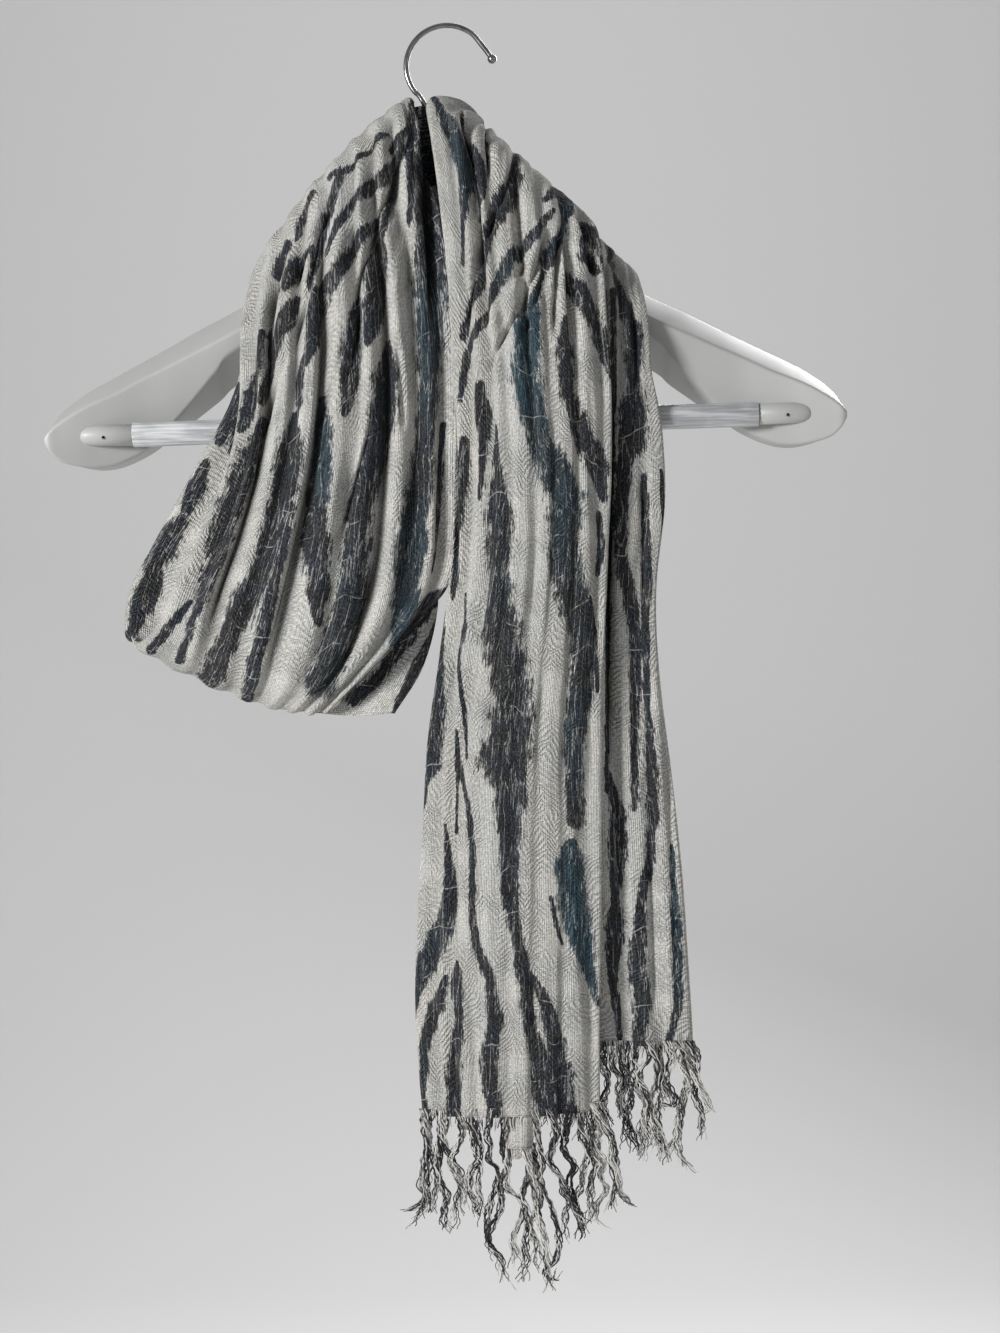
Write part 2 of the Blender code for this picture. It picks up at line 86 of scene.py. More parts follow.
# One row is a line across the cloth: outer x, y, z, middle x, y, z, inner x, y, z, fold depth (mm)
CROSSING_ROWS = (
    (-24.2, 13.8, -118, -24.2, 13.8, -82, -24.2, 9, -44, 1.5),
    (-6.0, 14.0, -119, -6.0, 14.0, -80, -6.0, 9, -41, 1.5),
    (12.2, 13.8, -118, 12.2, 13.8, -82, 12.2, 9, -44, 1.5),
)
LOOP_FRONT_ROWS = (
    (-24.3, 14.5, -84, -24.3, 12, -67, -24.3, 9, -49, 2.0),
    (-84, 18, -122, -55, 18, -70, -26, 5, -43, 1.4),
    (-109, 2, -134, -66, 2, -76, -22, -3, -40, 1.8),
    (-115, -22, -160, -61, -28, -92, -17, -12, -45, 5.0),
    (-117, -32, -186, -61, -42, -133, -8, -20.5, -82, 9.0),
    (-117, -37, -220, -59, -49, -183, 3, -27, -128, 10.0),
    (-122, -41, -251, -60, -53, -234, 10, -31, -187, 9.5),
    (-135, -44, -288, -65, -55, -280, 11, -33.5, -246, 9.0),
    (-152, -46, -320, -72, -56, -324, 10, -35, -301, 8.0),
    (-162, -44, -342, -80, -55, -357, -1, -37, -328, 7.0),
    (-170, -38, -351, -89, -49, -379, -26, -43, -353, 5.0),
    (-176, -31, -354, -98, -40, -388, -56, -40, -384, 3.0),
    (-179, -25, -351, -97, -33, -387, -60, -34, -385, 2.0),
)
LOOP_BACK_ROWS = (
    (-24.3, 13.8, -118, -24.3, 13.8, -105, -24.3, 13.8, -91, 1.5),
    (-66, 15.4, -134, -48, 15.4, -112, -34, 15, -96, 1.5),
    (-104, 15, -140, -68, 15, -119, -40, 13, -99, 2.0),
    (-108, -15, -162, -70, -15, -140, -38, -14, -116, 2.5),
    (-114, -24, -190, -66, -27, -170, -26, -26, -148, 3.0),
    (-123, -25.5, -219, -60, -31, -206, -8, -28, -188, 3.0),
    (-141, -25, -252, -64, -32, -250, -5, -28, -244, 3.5),
    (-162, -24, -290, -76, -32, -295, -4, -28, -306, 3.5),
    (-178, -22, -320, -88, -31, -328, -4, -29, -335, 3.5),
    (-182, -21, -341, -95, -29, -366, -12, -30, -365, 3.0),
    (-179, -24, -350, -97, -32, -386, -28, -34, -391, 2.0),
)
TAIL_FRONT_ROWS = (
    (12.3, 14.5, -84, 12.3, 12, -67, 12.3, 9, -49, 2.0),
    (56, 20, -97, 35, 17, -70, 14, 5, -44, 1.6),
    (74, 8, -101, 38, 3, -69, 4, -5, -40, 2.0),
    (85, -15, -117, 39, -25, -84, -11, -14, -42, 5.0),
    (90, -28, -142, 41, -39, -115, -10, -25, -66, 6.5),
    (92, -34, -172, 44, -47, -155, -5, -33, -107, 6.5),
    (94, -38, -211, 47, -51, -197, 0, -38, -161, 4.8),
    (94, -39, -256, 50, -52, -247, 2, -40.5, -228, 3.8),
    (92, -39, -307, 49, -52, -304, 1, -41.5, -304, 3.0),
    (90, -38, -357, 44, -51, -357, -5, -41, -357, 2.7),
    (89, -37, -407, 39, -50, -406, -12, -39, -407, 2.4),
    (89, -37, -457, 37, -49, -456, -15, -36, -457, 2.4),
    (89, -36, -507, 36, -48, -506, -18, -35, -507, 2.6),
    (88, -36, -557, 35, -47, -555, -19, -35, -557, 3.0),
    (88, -36, -612, 36, -47, -614, -15, -35, -615, 3.0),
)
TAIL_BACK_ROWS = (
    (12.3, 13.8, -118, 12.3, 13.8, -105, 12.3, 13.8, -91, 1.5),
    (76, 17.5, -126, 58, 17, -114, 40, 16.5, -101, 1.5),
    (105, 16.5, -134, 92, 16.5, -121, 78, 17, -110, 2.0),
    (112, -13, -153, 91, -17, -142, 72, -15, -131, 3.0),
    (115, -22, -176, 91, -24, -164, 66, -22, -154, 4.0),
    (116, -25.5, -199, 90, -28, -200, 60, -25, -193, 4.0),
    (122, -26, -230, 86, -29, -237, 50, -25, -236, 4.0),
    (124, -26, -272, 84, -29, -273, 44, -24, -272, 4.0),
    (119, -25, -322, 81, -28, -324, 40, -23, -323, 4.0),
    (121, -24, -370, 81, -27, -370, 38, -22, -370, 4.0),
    (127, -24, -420, 81, -27, -420, 36, -22, -420, 4.0),
    (133, -24, -475, 82, -27, -475, 37, -22, -475, 4.0),
    (137, -24, -530, 84, -27, -530, 40, -22, -530, 4.0),
    (140, -24, -579, 86, -27, -578, 42, -22, -579, 4.0),
)

# One row is a valley between two pleats: place across at the top and at the foot (0 left, 1 right),
# half width, depth as a share of the row's fold, and lean in parts of the depth
LOOP_VALLEYS = (
    (0.07, 0.09, 0.050, 0.55, 0.5),
    (0.17, 0.20, 0.055, 0.95, -0.4),
    (0.29, 0.33, 0.055, 0.75, -0.3),
    (0.43, 0.45, 0.060, 1.00, -0.5),
    (0.57, 0.57, 0.055, 0.70, 0.4),
    (0.70, 0.68, 0.060, 1.00, 0.4),
    (0.83, 0.81, 0.060, 0.80, 0.3),
    (0.94, 0.93, 0.050, 0.60, -0.3),
)
TAIL_VALLEYS = (
    (0.12, 0.11, 0.050, 0.70, 0.3),
    (0.24, 0.21, 0.055, 1.00, 0.4),
    (0.36, 0.34, 0.055, 0.65, -0.3),
    (0.50, 0.49, 0.055, 0.95, 0.3),
    (0.64, 0.63, 0.055, 0.70, -0.4),
    (0.78, 0.78, 0.055, 1.00, -0.3),
    (0.91, 0.92, 0.050, 0.75, 0.3),
)
BACK_VALLEYS = (
    (0.10, 0.10, 0.070, 0.80, 0.2),
    (0.28, 0.27, 0.070, 1.00, -0.2),
    (0.46, 0.45, 0.070, 0.70, 0.2),
    (0.64, 0.65, 0.070, 1.00, -0.2),
    (0.83, 0.84, 0.070, 0.80, 0.2),
)

# One row is a crease: where it starts and ends as the camera sees it (pixels),
# how far its middle bows to the right (pixels), half its width (mm) and its depth (mm, a ridge
# is below zero)
LOOP_CREASES = (
    (424, 104, 431, 345, 5, 5.0, 9.0),
    (413, 128, 386, 236, -3, 3.2, 5.0),
    (407, 150, 349, 326, -6, 3.2, 6.5),
    (319, 208, 293, 346, 4, 3.0, 5.5),
    (402, 165, 397, 300, 3, 5.0, -2.5),
    (372, 180, 322, 300, -5, 5.0, -2.8),
    (366, 250, 338, 404, 4, 2.8, 4.2),
    (345, 180, 285, 300, -4, 3.0, 4.0),
    (300, 215, 262, 330, -3, 3.4, 3.6),
    (374, 400, 330, 548, 6, 2.8, 4.6),
    (338, 430, 300, 690, 6, 7.0, -2.6),
    (304, 495, 252, 688, 5, 3.6, 4.0),
    (262, 420, 198, 645, 6, 3.8, 3.8),
    (236, 430, 160, 640, 4, 6.0, -2.0),
    (216, 440, 150, 625, 5, 3.0, 3.2),
    (412, 455, 382, 650, 6, 4.2, 3.8),
    (436, 420, 428, 590, 2, 4.0, -2.0),
    (370, 560, 330, 700, 4, 3.4, 3.2),
    (446, 585, 352, 694, 10, 3.0, 5.0),
    (395, 330, 402, 440, 3, 3.4, 3.4),
    (290, 345, 262, 440, -3, 3.0, 3.0),
    (345, 330, 322, 430, 2, 3.4, 3.0),
)
TAIL_CREASES = (
    (458, 104, 479, 222, 5, 2.8, 7.0),
    (479, 212, 461, 340, 3, 2.8, 5.0),
    (445, 100, 466, 205, 5, 4.0, -3.0),
    (484, 112, 490, 182, 3, 2.2, 4.6),
    (478, 196, 476, 262, 2, 2.4, 5.0),
    (515, 150, 476, 256, 5, 2.6, 4.4),
    (552, 203, 468, 352, 8, 7.0, -3.6),
    (553, 214, 472, 384, 10, 2.8, 4.8),
    (536, 232, 500, 296, 3, 2.6, 3.4),
    (564, 212, 557, 345, -3, 3.0, 8.0),
    (567, 198, 563, 246, 1, 4.5, -4.0),
    (577, 208, 593, 276, 3, 3.0, 8.0),
    (586, 212, 618, 330, 6, 4.0, -2.6),
    (596, 222, 610, 306, 3, 2.4, 4.4),
    (545, 270, 518, 336, 3, 2.6, 3.2),
    (468, 400, 462, 600, 3, 6.0, 2.2),
    (542, 470, 536, 720, -5, 8.0, 2.0),
    (590, 430, 598, 700, 3, 5.0, 2.4),
    (452, 640, 446, 860, 3, 4.4, 2.0),
    (500, 700, 478, 950, -4, 8.0, -2.0),
    (447, 860, 472, 1100, 6, 6.0, 2.0),
    (583, 760, 590, 1060, -4, 6.0, 1.8),
    (505, 880, 530, 1110, 4, 7.0, -1.8),
    (451, 380, 455, 592, 1, 3.2, 6.5),
)
BACK_TAIL_CREASES = (
    (613, 250, 634, 340, 5, 2.6, 4.0),
    (625, 270, 640, 380, 5, 3.0, -2.4),
    (634, 300, 630, 470, 2, 3.0, 3.4),
    (640, 470, 643, 630, 2, 2.8, 3.4),
    (628, 600, 636, 800, 2, 4.0, 2.8),
    (652, 640, 660, 840, 2, 4.0, -2.2),
    (664, 720, 676, 1020, 3, 3.4, 2.6),
    (646, 830, 652, 1040, 3, 3.4, 2.8),
    (613, 300, 608, 830, 0, 4.0, 6.5),
)

# The print, and a few bands of painted shadow along the edges of layers: each streak is a run of
# stations, as the camera sees them: x, y, width (pixels) and, where the ink isn't plain charcoal,
# how teal it is (1 all teal)
TAIL_STREAKS = (
    ((495, 425, 5), (495, 460, 11), (499, 517, 30), (499, 598, 24, 0.2), (501, 637, 42), (510, 680, 37),
     (513, 710, 40), (505, 760, 49), (510, 785, 33), (509, 850, 21), (509, 892, 20), (516, 935, 12),
     (527, 985, 18), (530, 1025, 15), (541, 1062, 20), (549, 1114, 27)),
    ((536, 978, 5), (545, 1000, 12), (556, 1040, 20), (562, 1080, 23), (567, 1114, 25)),
    ((535, 297, 8, 0.9), (528, 318, 24, 1), (526, 372, 30, 1), (530, 402, 26, 0.7), (541, 445, 26, 0.4),
     (556, 470, 34, 0.3), (566, 497, 34, 0.6), (565, 563, 31, 0.2), (573, 598, 32), (585, 636, 29, 0.2),
     (584, 678, 25), (577, 714, 24, 0.5), (574, 750, 18, 0.2), (577, 820, 17)),
    ((590, 596, 4), (597, 634, 6), (597, 690, 4)),
    ((572, 844, 14, 0.6), (570, 862, 28, 0.8), (573, 905, 30, 1), (581, 938, 24, 1), (590, 972, 13, 0.8),
     (598, 1004, 4, 0.4)),
    ((551, 898, 4), (556, 924, 6), (563, 943, 4)),
    ((444, 600, 4), (440, 662, 9), (436, 712, 17), (432, 765, 15), (426, 782, 7), (422, 812, 3)),
    ((464, 594, 3), (465, 624, 6), (458, 660, 5), (463, 712, 4), (466, 757, 4)),
    ((456, 730, 3), (457, 768, 7), (468, 802, 5), (473, 850, 7), (472, 912, 8), (476, 944, 10),
     (491, 982, 12), (495, 1020, 15), (488, 1062, 16), (494, 1112, 15)),
    ((456, 776, 3), (455, 832, 3)),
    ((445, 824, 3), (449, 872, 9), (449, 906, 16), (438, 936, 22, 0.2), (426, 964, 20, 0.1), (418, 992, 8),
     (411, 1026, 4)),
    ((445, 976, 4), (436, 1006, 15), (425, 1040, 10), (422, 1090, 9), (424, 1115, 10)),
    ((456, 962, 5), (455, 984, 14), (458, 1022, 10), (453, 1068, 17), (453, 1114, 14)),
    ((433, 97, 5, 0.2), (442, 113, 11, 0.3), (456, 140, 18, 0.5), (464, 172, 13, 0.4), (462, 218, 7),
     (460, 262, 4)),
    ((462, 110, 3), (468, 136, 5), (480, 165, 12), (483, 186, 10), (476, 214, 5)),
    ((484, 116, 3), (490, 142, 5), (489, 172, 3)),
    ((516, 151, 4), (515, 178, 16), (503, 202, 23), (488, 234, 12), (479, 272, 8), (470, 300, 9),
     (461, 338, 6)),
    ((548, 198, 7), (558, 189, 15), (565, 195, 10)),
    ((553, 210, 5), (535, 235, 12), (511, 256, 13, 0.2), (499, 282, 13, 0.3), (484, 312, 8), (466, 352, 7),
     (460, 400, 5)),
    ((568, 203, 12, 0.2), (565, 228, 11, 0.6), (550, 258, 12), (542, 280, 9), (535, 299, 12, 0.5)),
    ((571, 270, 6), (577, 285, 15), (591, 312, 18), (603, 342, 17, 0.1), (611, 376, 5)),
    ((566, 318, 8), (567, 350, 20), (570, 394, 19), (583, 434, 20), (598, 464, 22), (604, 500, 6)),
    ((583, 240, 8), (588, 256, 17), (597, 270, 7)),
    ((582, 217, 5), (595, 237, 9), (606, 268, 7), (614, 306, 5)),
    ((479, 384, 9), (481, 412, 14), (483, 440, 8), (481, 470, 5), (480, 500, 4)),
    ((463, 438, 7), (461, 468, 13), (458, 498, 11), (455, 540, 8), (455, 580, 7), (453, 598, 4)),
    ((600, 512, 5), (602, 545, 6), (599, 575, 4)),
)
BACK_TAIL_STREAKS = (
    ((600, 224, 4), (617, 275, 9), (625, 303, 12), (634, 335, 16), (634, 382, 15), (634, 410, 26),
     (634, 440, 27), (624, 464, 14), (621, 550, 12), (632, 609, 16), (637, 632, 14), (635, 700, 11),
     (635, 760, 8), (634, 806, 9)),
    ((611, 775, 5), (618, 812, 18), (618, 858, 19), (616, 900, 11), (616, 932, 22), (612, 975, 12),
     (619, 1020, 9), (620, 1046, 7)),
    ((644, 476, 8), (647, 560, 10), (645, 625, 9), (647, 700, 7), (653, 792, 14), (650, 860, 11),
     (640, 905, 9), (638, 950, 18), (641, 1005, 18, 0.2), (639, 1044, 9)),
    ((672, 845, 5, 0.6), (674, 900, 10, 0.6), (678, 955, 11, 0.5), (677, 1010, 9, 0.2), (668, 1046, 6)),
    ((661, 470, 4), (664, 540, 5), (660, 600, 4)),
    # Painted shadow: a dark band where the front tail's edge shades the back tail
    ((613, 290, 6), (614, 400, 9), (611, 500, 9), (609, 600, 8), (608, 700, 7), (607, 790, 6)),
    ((604, 290, 6), (596, 350, 18), (602, 410, 8), (588, 470, 22), (592, 540, 12), (582, 610, 26, 0.2),
     (590, 680, 9), (580, 750, 20), (588, 830, 8), (578, 900, 22), (586, 980, 12), (580, 1045, 20)),
    ((562, 320, 8), (552, 390, 22, 0.5), (560, 460, 12, 0.6), (548, 530, 24, 0.3), (556, 610, 8),
     (546, 690, 20), (554, 770, 11), (544, 850, 26), (552, 930, 14, 0.3), (548, 1045, 18)),
    ((532, 420, 6), (524, 500, 14), (532, 580, 7), (522, 660, 16), (530, 760, 8), (522, 850, 18),
     (530, 950, 9), (526, 1040, 14)),
    ((640, 245, 5), (655, 290, 7), (662, 340, 8)),
)
LOOP_STREAKS = (
    ((414, 96, 8), (413, 120, 12), (411, 160, 9), (410, 200, 7), (409, 222, 4)),
    ((427, 100, 10), (428, 150, 22), (429, 205, 25), (430, 245, 33), (431, 300, 35, 0.5),
     (432, 350, 30, 0.4), (430, 400, 22, 0.3), (424, 442, 19), (419, 485, 27, 0.1), (413, 535, 32, 0.4),
     (406, 592, 27, 0.4), (400, 645, 21, 0.8)),
    ((386, 345, 10), (386, 372, 25), (384, 415, 28, 0.2), (372, 462, 22), (357, 510, 26, 0.1),
     (352, 580, 28, 0.1), (341, 628, 31, 0.1), (320, 682, 33, 0.2)),
    ((319, 488, 12), (318, 540, 23), (317, 596, 20), (316, 622, 7)),
    ((326, 392, 7, 0.4), (326, 430, 16, 0.6), (324, 498, 13, 0.5)),
    ((296, 412, 8), (289, 455, 29), (278, 522, 28), (264, 566, 27), (240, 612, 28), (228, 640, 19),
     (212, 674, 27)),
    ((263, 416, 8), (248, 452, 20), (232, 496, 21), (219, 540, 22), (203, 585, 19), (189, 624, 14),
     (179, 658, 11)),
    ((297, 293, 7), (285, 318, 19), (276, 340, 13), (268, 372, 9), (260, 400, 7)),
    ((330, 272, 6), (321, 292, 22), (316, 315, 20), (313, 338, 16), (306, 362, 7)),
    ((357, 298, 8), (351, 335, 19), (349, 375, 19), (344, 414, 6)),
    ((382, 243, 8), (377, 278, 21), (372, 318, 20), (368, 342, 8)),
    ((406, 130, 6), (397, 139, 11), (390, 149, 6)),
    ((402, 146, 6), (394, 163, 13, 0.1), (382, 177, 16), (368, 188, 14), (352, 201, 11), (340, 219, 9),
     (328, 248, 5)),
    ((385, 133, 5), (376, 139, 9), (370, 145, 5)),
    ((368, 149, 5), (352, 162, 7), (340, 171, 8), (328, 175, 5)),
    ((341, 172, 5), (334, 190, 12), (326, 214, 13), (319, 240, 11), (314, 262, 9), (309, 282, 8)),
    ((373, 219, 6), (362, 233, 12), (350, 250, 13), (341, 266, 13), (333, 286, 10)),
    ((392, 191, 4), (386, 214, 7), (380, 238, 7), (371, 258, 8), (363, 274, 5)),
    ((314, 192, 5), (304, 208, 7), (297, 226, 7), (293, 238, 4)),
    ((286, 240, 5), (278, 254, 9), (274, 270, 7)),
    ((310, 245, 6), (298, 258, 14), (290, 272, 14), (284, 287, 7)),
    ((279, 286, 4), (272, 306, 6), (268, 332, 6), (267, 352, 4)),
    ((262, 330, 5), (256, 362, 12), (247, 402, 11), (240, 430, 6)),
    ((304, 356, 6), (299, 380, 10), (300, 404, 7)),
    ((288, 528, 6), (275, 582, 11), (262, 636, 13), (252, 676, 15), (246, 704, 12)),
    ((186, 600, 5), (164, 632, 8), (150, 650, 9)),
    # Partly print, partly painted shadow: the dark band along the front layer's lower edge
    ((452, 588, 8), (430, 602, 14), (412, 626, 16), (392, 660, 15), (346, 702, 10)),
    ((448, 420, 4), (444, 470, 8), (440, 530, 7), (434, 570, 5)),
)
LOOP_BACK_STREAKS = (
    ((238, 386, 8), (229, 416, 20), (220, 440, 12)),
    ((206, 462, 8), (195, 488, 20), (186, 508, 12)),
    ((180, 522, 14), (162, 546, 28), (149, 568, 16)),
    ((154, 574, 16), (145, 598, 28), (134, 616, 16)),
    ((140, 618, 12), (127, 636, 14)),
    # Partly print, partly painted shadow: the dark band that the front layer's edge casts on the layer behind
    ((450, 588, 9), (427, 606, 15), (404, 642, 15), (380, 674, 14), (352, 700, 12)),
    ((443, 616, 8), (428, 645, 11), (411, 676, 12), (396, 712, 9)),
    ((306, 250, 8), (288, 310, 20), (292, 360, 9), (270, 420, 24, 0.1), (276, 480, 12), (252, 540, 22),
     (248, 590, 9), (226, 640, 24), (214, 690, 10)),
    ((352, 235, 9), (348, 290, 22, 0.3), (330, 350, 14, 0.5), (338, 410, 25, 0.6), (316, 470, 18, 0.2),
     (322, 540, 10), (298, 610, 26), (292, 690, 16)),
    ((400, 195, 8), (404, 260, 18), (388, 330, 24), (396, 400, 11), (378, 470, 26, 0.4),
     (382, 540, 15, 0.2), (356, 610, 22), (350, 690, 9)),
    ((262, 330, 6), (248, 390, 15), (230, 450, 8)),
    ((318, 300, 5), (306, 350, 10), (300, 400, 5)),
    ((430, 300, 6), (424, 370, 14), (430, 440, 9), (418, 520, 15), (410, 570, 6)),
)

# Fringe: one row is a lock, its tone (0 pale, 1 charcoal) and the line it hangs along as the
# camera sees it, from its root in the hem (pixels)
FRONT_LOCKS = (
    (0.85, (424, 1108), (425, 1130), (429, 1147), (428, 1165), (427, 1193), (421, 1210), (410, 1228)),
    (0.6, (426, 1108), (428, 1140), (423, 1166), (421, 1184), (426, 1198), (413, 1208), (405, 1210)),
    (0.5, (441, 1108), (445, 1128), (438, 1146), (438, 1160), (437, 1180), (432, 1203), (432, 1217)),
    (0.6, (444, 1108), (442, 1134), (450, 1157), (461, 1173), (460, 1190), (455, 1206), (454, 1234)),
    (0.7, (440, 1108), (440, 1150), (437, 1172), (446, 1195), (444, 1208), (444, 1220), (448, 1232)),
    (0.3, (459, 1108), (463, 1131), (456, 1148), (450, 1158), (457, 1178), (463, 1196), (461, 1218)),
    (0.7, (474, 1108), (476, 1130), (479, 1146), (478, 1158), (471, 1172), (469, 1188), (476, 1205),
     (485, 1232)),
    (0.35, (468, 1108), (471, 1132), (474, 1148), (480, 1165), (478, 1182), (480, 1200), (477, 1214)),
    (0.6, (492, 1108), (487, 1132), (491, 1146), (489, 1158), (496, 1168), (496, 1182), (488, 1216),
     (489, 1243), (499, 1256), (504, 1274), (513, 1294)),
    (0.5, (507, 1108), (503, 1137), (502, 1151), (508, 1164), (500, 1184), (501, 1206), (490, 1228),
     (488, 1240), (500, 1262)),
    (0.3, (510, 1148), (506, 1178), (509, 1190), (519, 1198), (523, 1211), (513, 1238), (515, 1254),
     (512, 1268)),
    (0.35, (530, 1148), (529, 1172), (522, 1194), (526, 1208), (528, 1220), (525, 1245), (525, 1265),
     (521, 1283)),
    (0.45, (536, 1108), (539, 1147), (543, 1164), (539, 1180), (541, 1195), (536, 1212), (530, 1225),
     (536, 1242), (537, 1258), (541, 1274)),
    (0.35, (532, 1142), (540, 1176), (545, 1192), (551, 1208), (559, 1236), (555, 1260), (543, 1271),
     (553, 1279), (560, 1268)),
    (0.15, (526, 1148), (534, 1190), (540, 1220), (546, 1250), (548, 1278), (548, 1292)),
    (0.6, (550, 1108), (556, 1131), (551, 1150), (550, 1163), (561, 1178), (564, 1192), (570, 1201),
     (564, 1218), (564, 1251)),
    (0.9, (569, 1108), (565, 1138), (564, 1150), (574, 1166), (569, 1181), (574, 1201), (581, 1227),
     (577, 1241)),
    (0.5, (577, 1106), (583, 1135), (587, 1151), (583, 1170), (581, 1188), (573, 1203), (581, 1218),
     (587, 1234)),
    (0.5, (588, 1104), (591, 1131), (590, 1148), (597, 1164), (591, 1177), (590, 1196), (591, 1212),
     (584, 1233)),
    (0.3, (595, 1102), (601, 1127), (596, 1144), (603, 1161), (601, 1177), (606, 1189), (597, 1204),
     (596, 1220), (606, 1230)),
    (0.4, (597, 1102), (607, 1128), (613, 1142), (611, 1160), (616, 1180), (612, 1198), (611, 1213)),
    (0.4, (594, 1102), (609, 1136), (616, 1158), (619, 1188), (626, 1199), (633, 1207)),
)
BACK_LOCKS = (
    (0.6, (616, 1040), (614, 1058), (613, 1068), (620, 1077), (619, 1090), (622, 1108), (623, 1122)),
    (0.85, (634, 1040), (630, 1062), (629, 1077), (631, 1092), (628, 1109), (626, 1126), (629, 1152)),
    (0.6, (644, 1040), (650, 1054), (640, 1071), (637, 1087), (645, 1104), (641, 1126), (644, 1143),
     (641, 1162)),
    (0.6, (650, 1040), (657, 1066), (655, 1084), (651, 1101), (655, 1120), (657, 1134), (661, 1147),
     (664, 1162)),
    (0.05, (655, 1040), (660, 1078), (660, 1096), (657, 1118), (664, 1142), (668, 1166)),
    (0.5, (657, 1040), (661, 1072), (668, 1086), (674, 1098), (671, 1106), (661, 1103), (656, 1110)),
    (0.25, (677, 1040), (684, 1053), (682, 1062), (688, 1082), (683, 1095), (680, 1110), (678, 1134),
     (671, 1146), (668, 1158)),
    (0.3, (680, 1040), (686, 1070), (684, 1100), (678, 1130), (679, 1150), (685, 1163), (692, 1173)),
    (0.6, (689, 1040), (697, 1056), (696, 1068), (695, 1084), (696, 1098), (701, 1112), (702, 1126),
     (699, 1141)),
    (0.05, (688, 1040), (695, 1072), (702, 1089), (708, 1105), (711, 1115)),
    (0.6, (626, 1040), (622, 1060), (626, 1080), (620, 1100), (628, 1120), (636, 1140), (641, 1156)),
    (0.5, (638, 1040), (634, 1058), (640, 1080), (648, 1100), (646, 1122), (652, 1140), (648, 1152)),
    (0.4, (668, 1040), (672, 1056), (668, 1070), (664, 1088), (667, 1102)),
    (0.7, (606, 1040), (603, 1062), (608, 1084), (604, 1104), (609, 1128)),
    (0.4, (592, 1040), (596, 1060), (591, 1082), (597, 1106), (593, 1130), (598, 1146)),
    (0.6, (580, 1040), (576, 1058), (583, 1080), (578, 1104), (582, 1124), (577, 1142)),
    (0.2, (567, 1040), (570, 1062), (565, 1086), (571, 1108), (566, 1136)),
    (0.8, (554, 1040), (551, 1060), (557, 1080), (552, 1102), (558, 1126), (555, 1144)),
    (0.5, (541, 1040), (544, 1058), (538, 1084), (544, 1106), (540, 1128)),
    (0.3, (529, 1040), (526, 1062), (532, 1082), (527, 1104), (531, 1122), (527, 1138)),
)

# A lock: its yarns, how its line sways, how far the yarns stand from it, and how they wind, wave and
# fray, in millimetres, shares, and radians for each millimetre of yarn. Pairs are the least and the
# most, between which each yarn or lock has its own
LOCK_YARNS = 10
LOCK_STEPS = 160
LOCK_SWAY = 1.4
LOCK_SWAY_TURN = 5
LOCK_SWAY_PHASE = 40
LOCK_RADIUS = 1.30
LOCK_NARROWEST = 0.75
LOCK_OPENING = 0.6
RADIUS_SHARES = (0.55, 1.35)
YARN_SHARES = (0.86, 1.0)
YARN_RINGS = 56
YARN_SIDES = 5
YARN_RADIUS = 0.42
YARN_TAPER = 0.45
YARN_THICKNESS = (0.75, 1.3)
WINDING = (0.10, 0.2)
WAVE_DEPTHS = (0.3, 1.1)
WAVE_TURNS = (0.14, 0.34)
CRIMP = 0.45
CRIMP_TURNS = (0.6, 1.1)
FRAY = 2.6
FRAY_START = 0.86
ROOT_FLARE = 1.9
ROOT_REACH = 5.0
TONE_SPREAD = 0.36

# Loose ends in the hem between the locks: lengths (mm), lean as a share of the length, bend and
# height of the roots above the hem (mm), and tones
LOOSE_ENDS = 60
LOOSE_LENGTHS = (2.0, 8.0)
LOOSE_LEAN = 0.5
LOOSE_BEND = 0.8
LOOSE_ROOT = 1.6
LOOSE_TONES = (0.1, 0.9)

# No yarn, wire or pin runs right along this direction, so a tube's circles are laid out from it
TUBE_SIDE = (0.08, 1.0, 0.05)

# A short tab of cloth below the front tail's hem: left, right, top and foot (pixels), how it bends
# and narrows (shares of its width), how far it lies behind the hem and waves (mm), and its ragged
# foot: how far that wanders (pixels), how often and by which noise
HEM_TAB = (506, 533, 1108, 1157)
TAB_COLUMNS = 34
TAB_LINES = 50
TAB_BEND = 0.05
TAB_NARROWS = 0.06
TAB_BEHIND = 0.9
TAB_WAVE = 0.7
TAB_RAGS = ((2.2, 9, 71), (1.2, 23, 72))

# Hanger, drawn level and then tilted the way the load tilts it (mm)
HANGER_TILT = math.radians(1.9)
HANGER_AXIS_X = -8.0
ARM_EDGE_ROUND = 2.2
ARM_EDGE_SHARE = 0.45
ARM_SECTIONS = 110
CORNER_STEPS = 5
FACE_SLOPE = 0.2
BAR_Y = -13.5
BAR_Z = -228.3
ROUND_SIDES = 96
SLEEVE_RIBS = 16
RIB_DEPTH = 0.4
CAP_RADIUS = 6.0
PIN_REACH = 193.0
PIN_RADIUS = 1.1
PIN_RISE = -1.6
PIN_SIDES = 14
WIRE_RADIUS = 1.5
WIRE_RINGS = 160
WIRE_SIDES = 20
HOOK_RADIUS = 23.5
HOOK_CENTRE = (-0.7, -22.0)
HOOK_ARC_DEGREES = (228.0, 48.0)
HOOK_ARC_POINTS = 16
HOOK_TAIL = ((19.6, -10.6), (22.6, -14.6), (25.2, -18.6))
# The stem's lower part up to the arc: x, z
STEM_POINTS = ((-8.0, -99.0), (-8.0, -80.0), (-8.0, -64.0), (-10.0, -52.5))
BALL_RADIUS = 2.7
BALL_RINGS = 16
BALL_SIDES = 24
BALL_POLE = 0.02

# The pin's head: depth behind the cap's front (mm), share of its radius
PIN_PROFILE = ((2.0, 1.0), (0.2, 1.0), (-0.15, 0.9), (-0.2, 0.6))

# Round pieces on the bar's axis: reach from the hanger's axis, radius (mm)
SLEEVE_PROFILE = ((-177.0, 6.2), (-177.0, 6.9), (-176.6, 7.0), (176.6, 7.0), (177.0, 6.9), (177.0, 6.2))
CAP_PROFILE = ((177.3, 5.6), (177.6, 6.0), (198, 6.0), (202, 5.6), (205, 4.8), (207, 3.4), (208, 1.2))

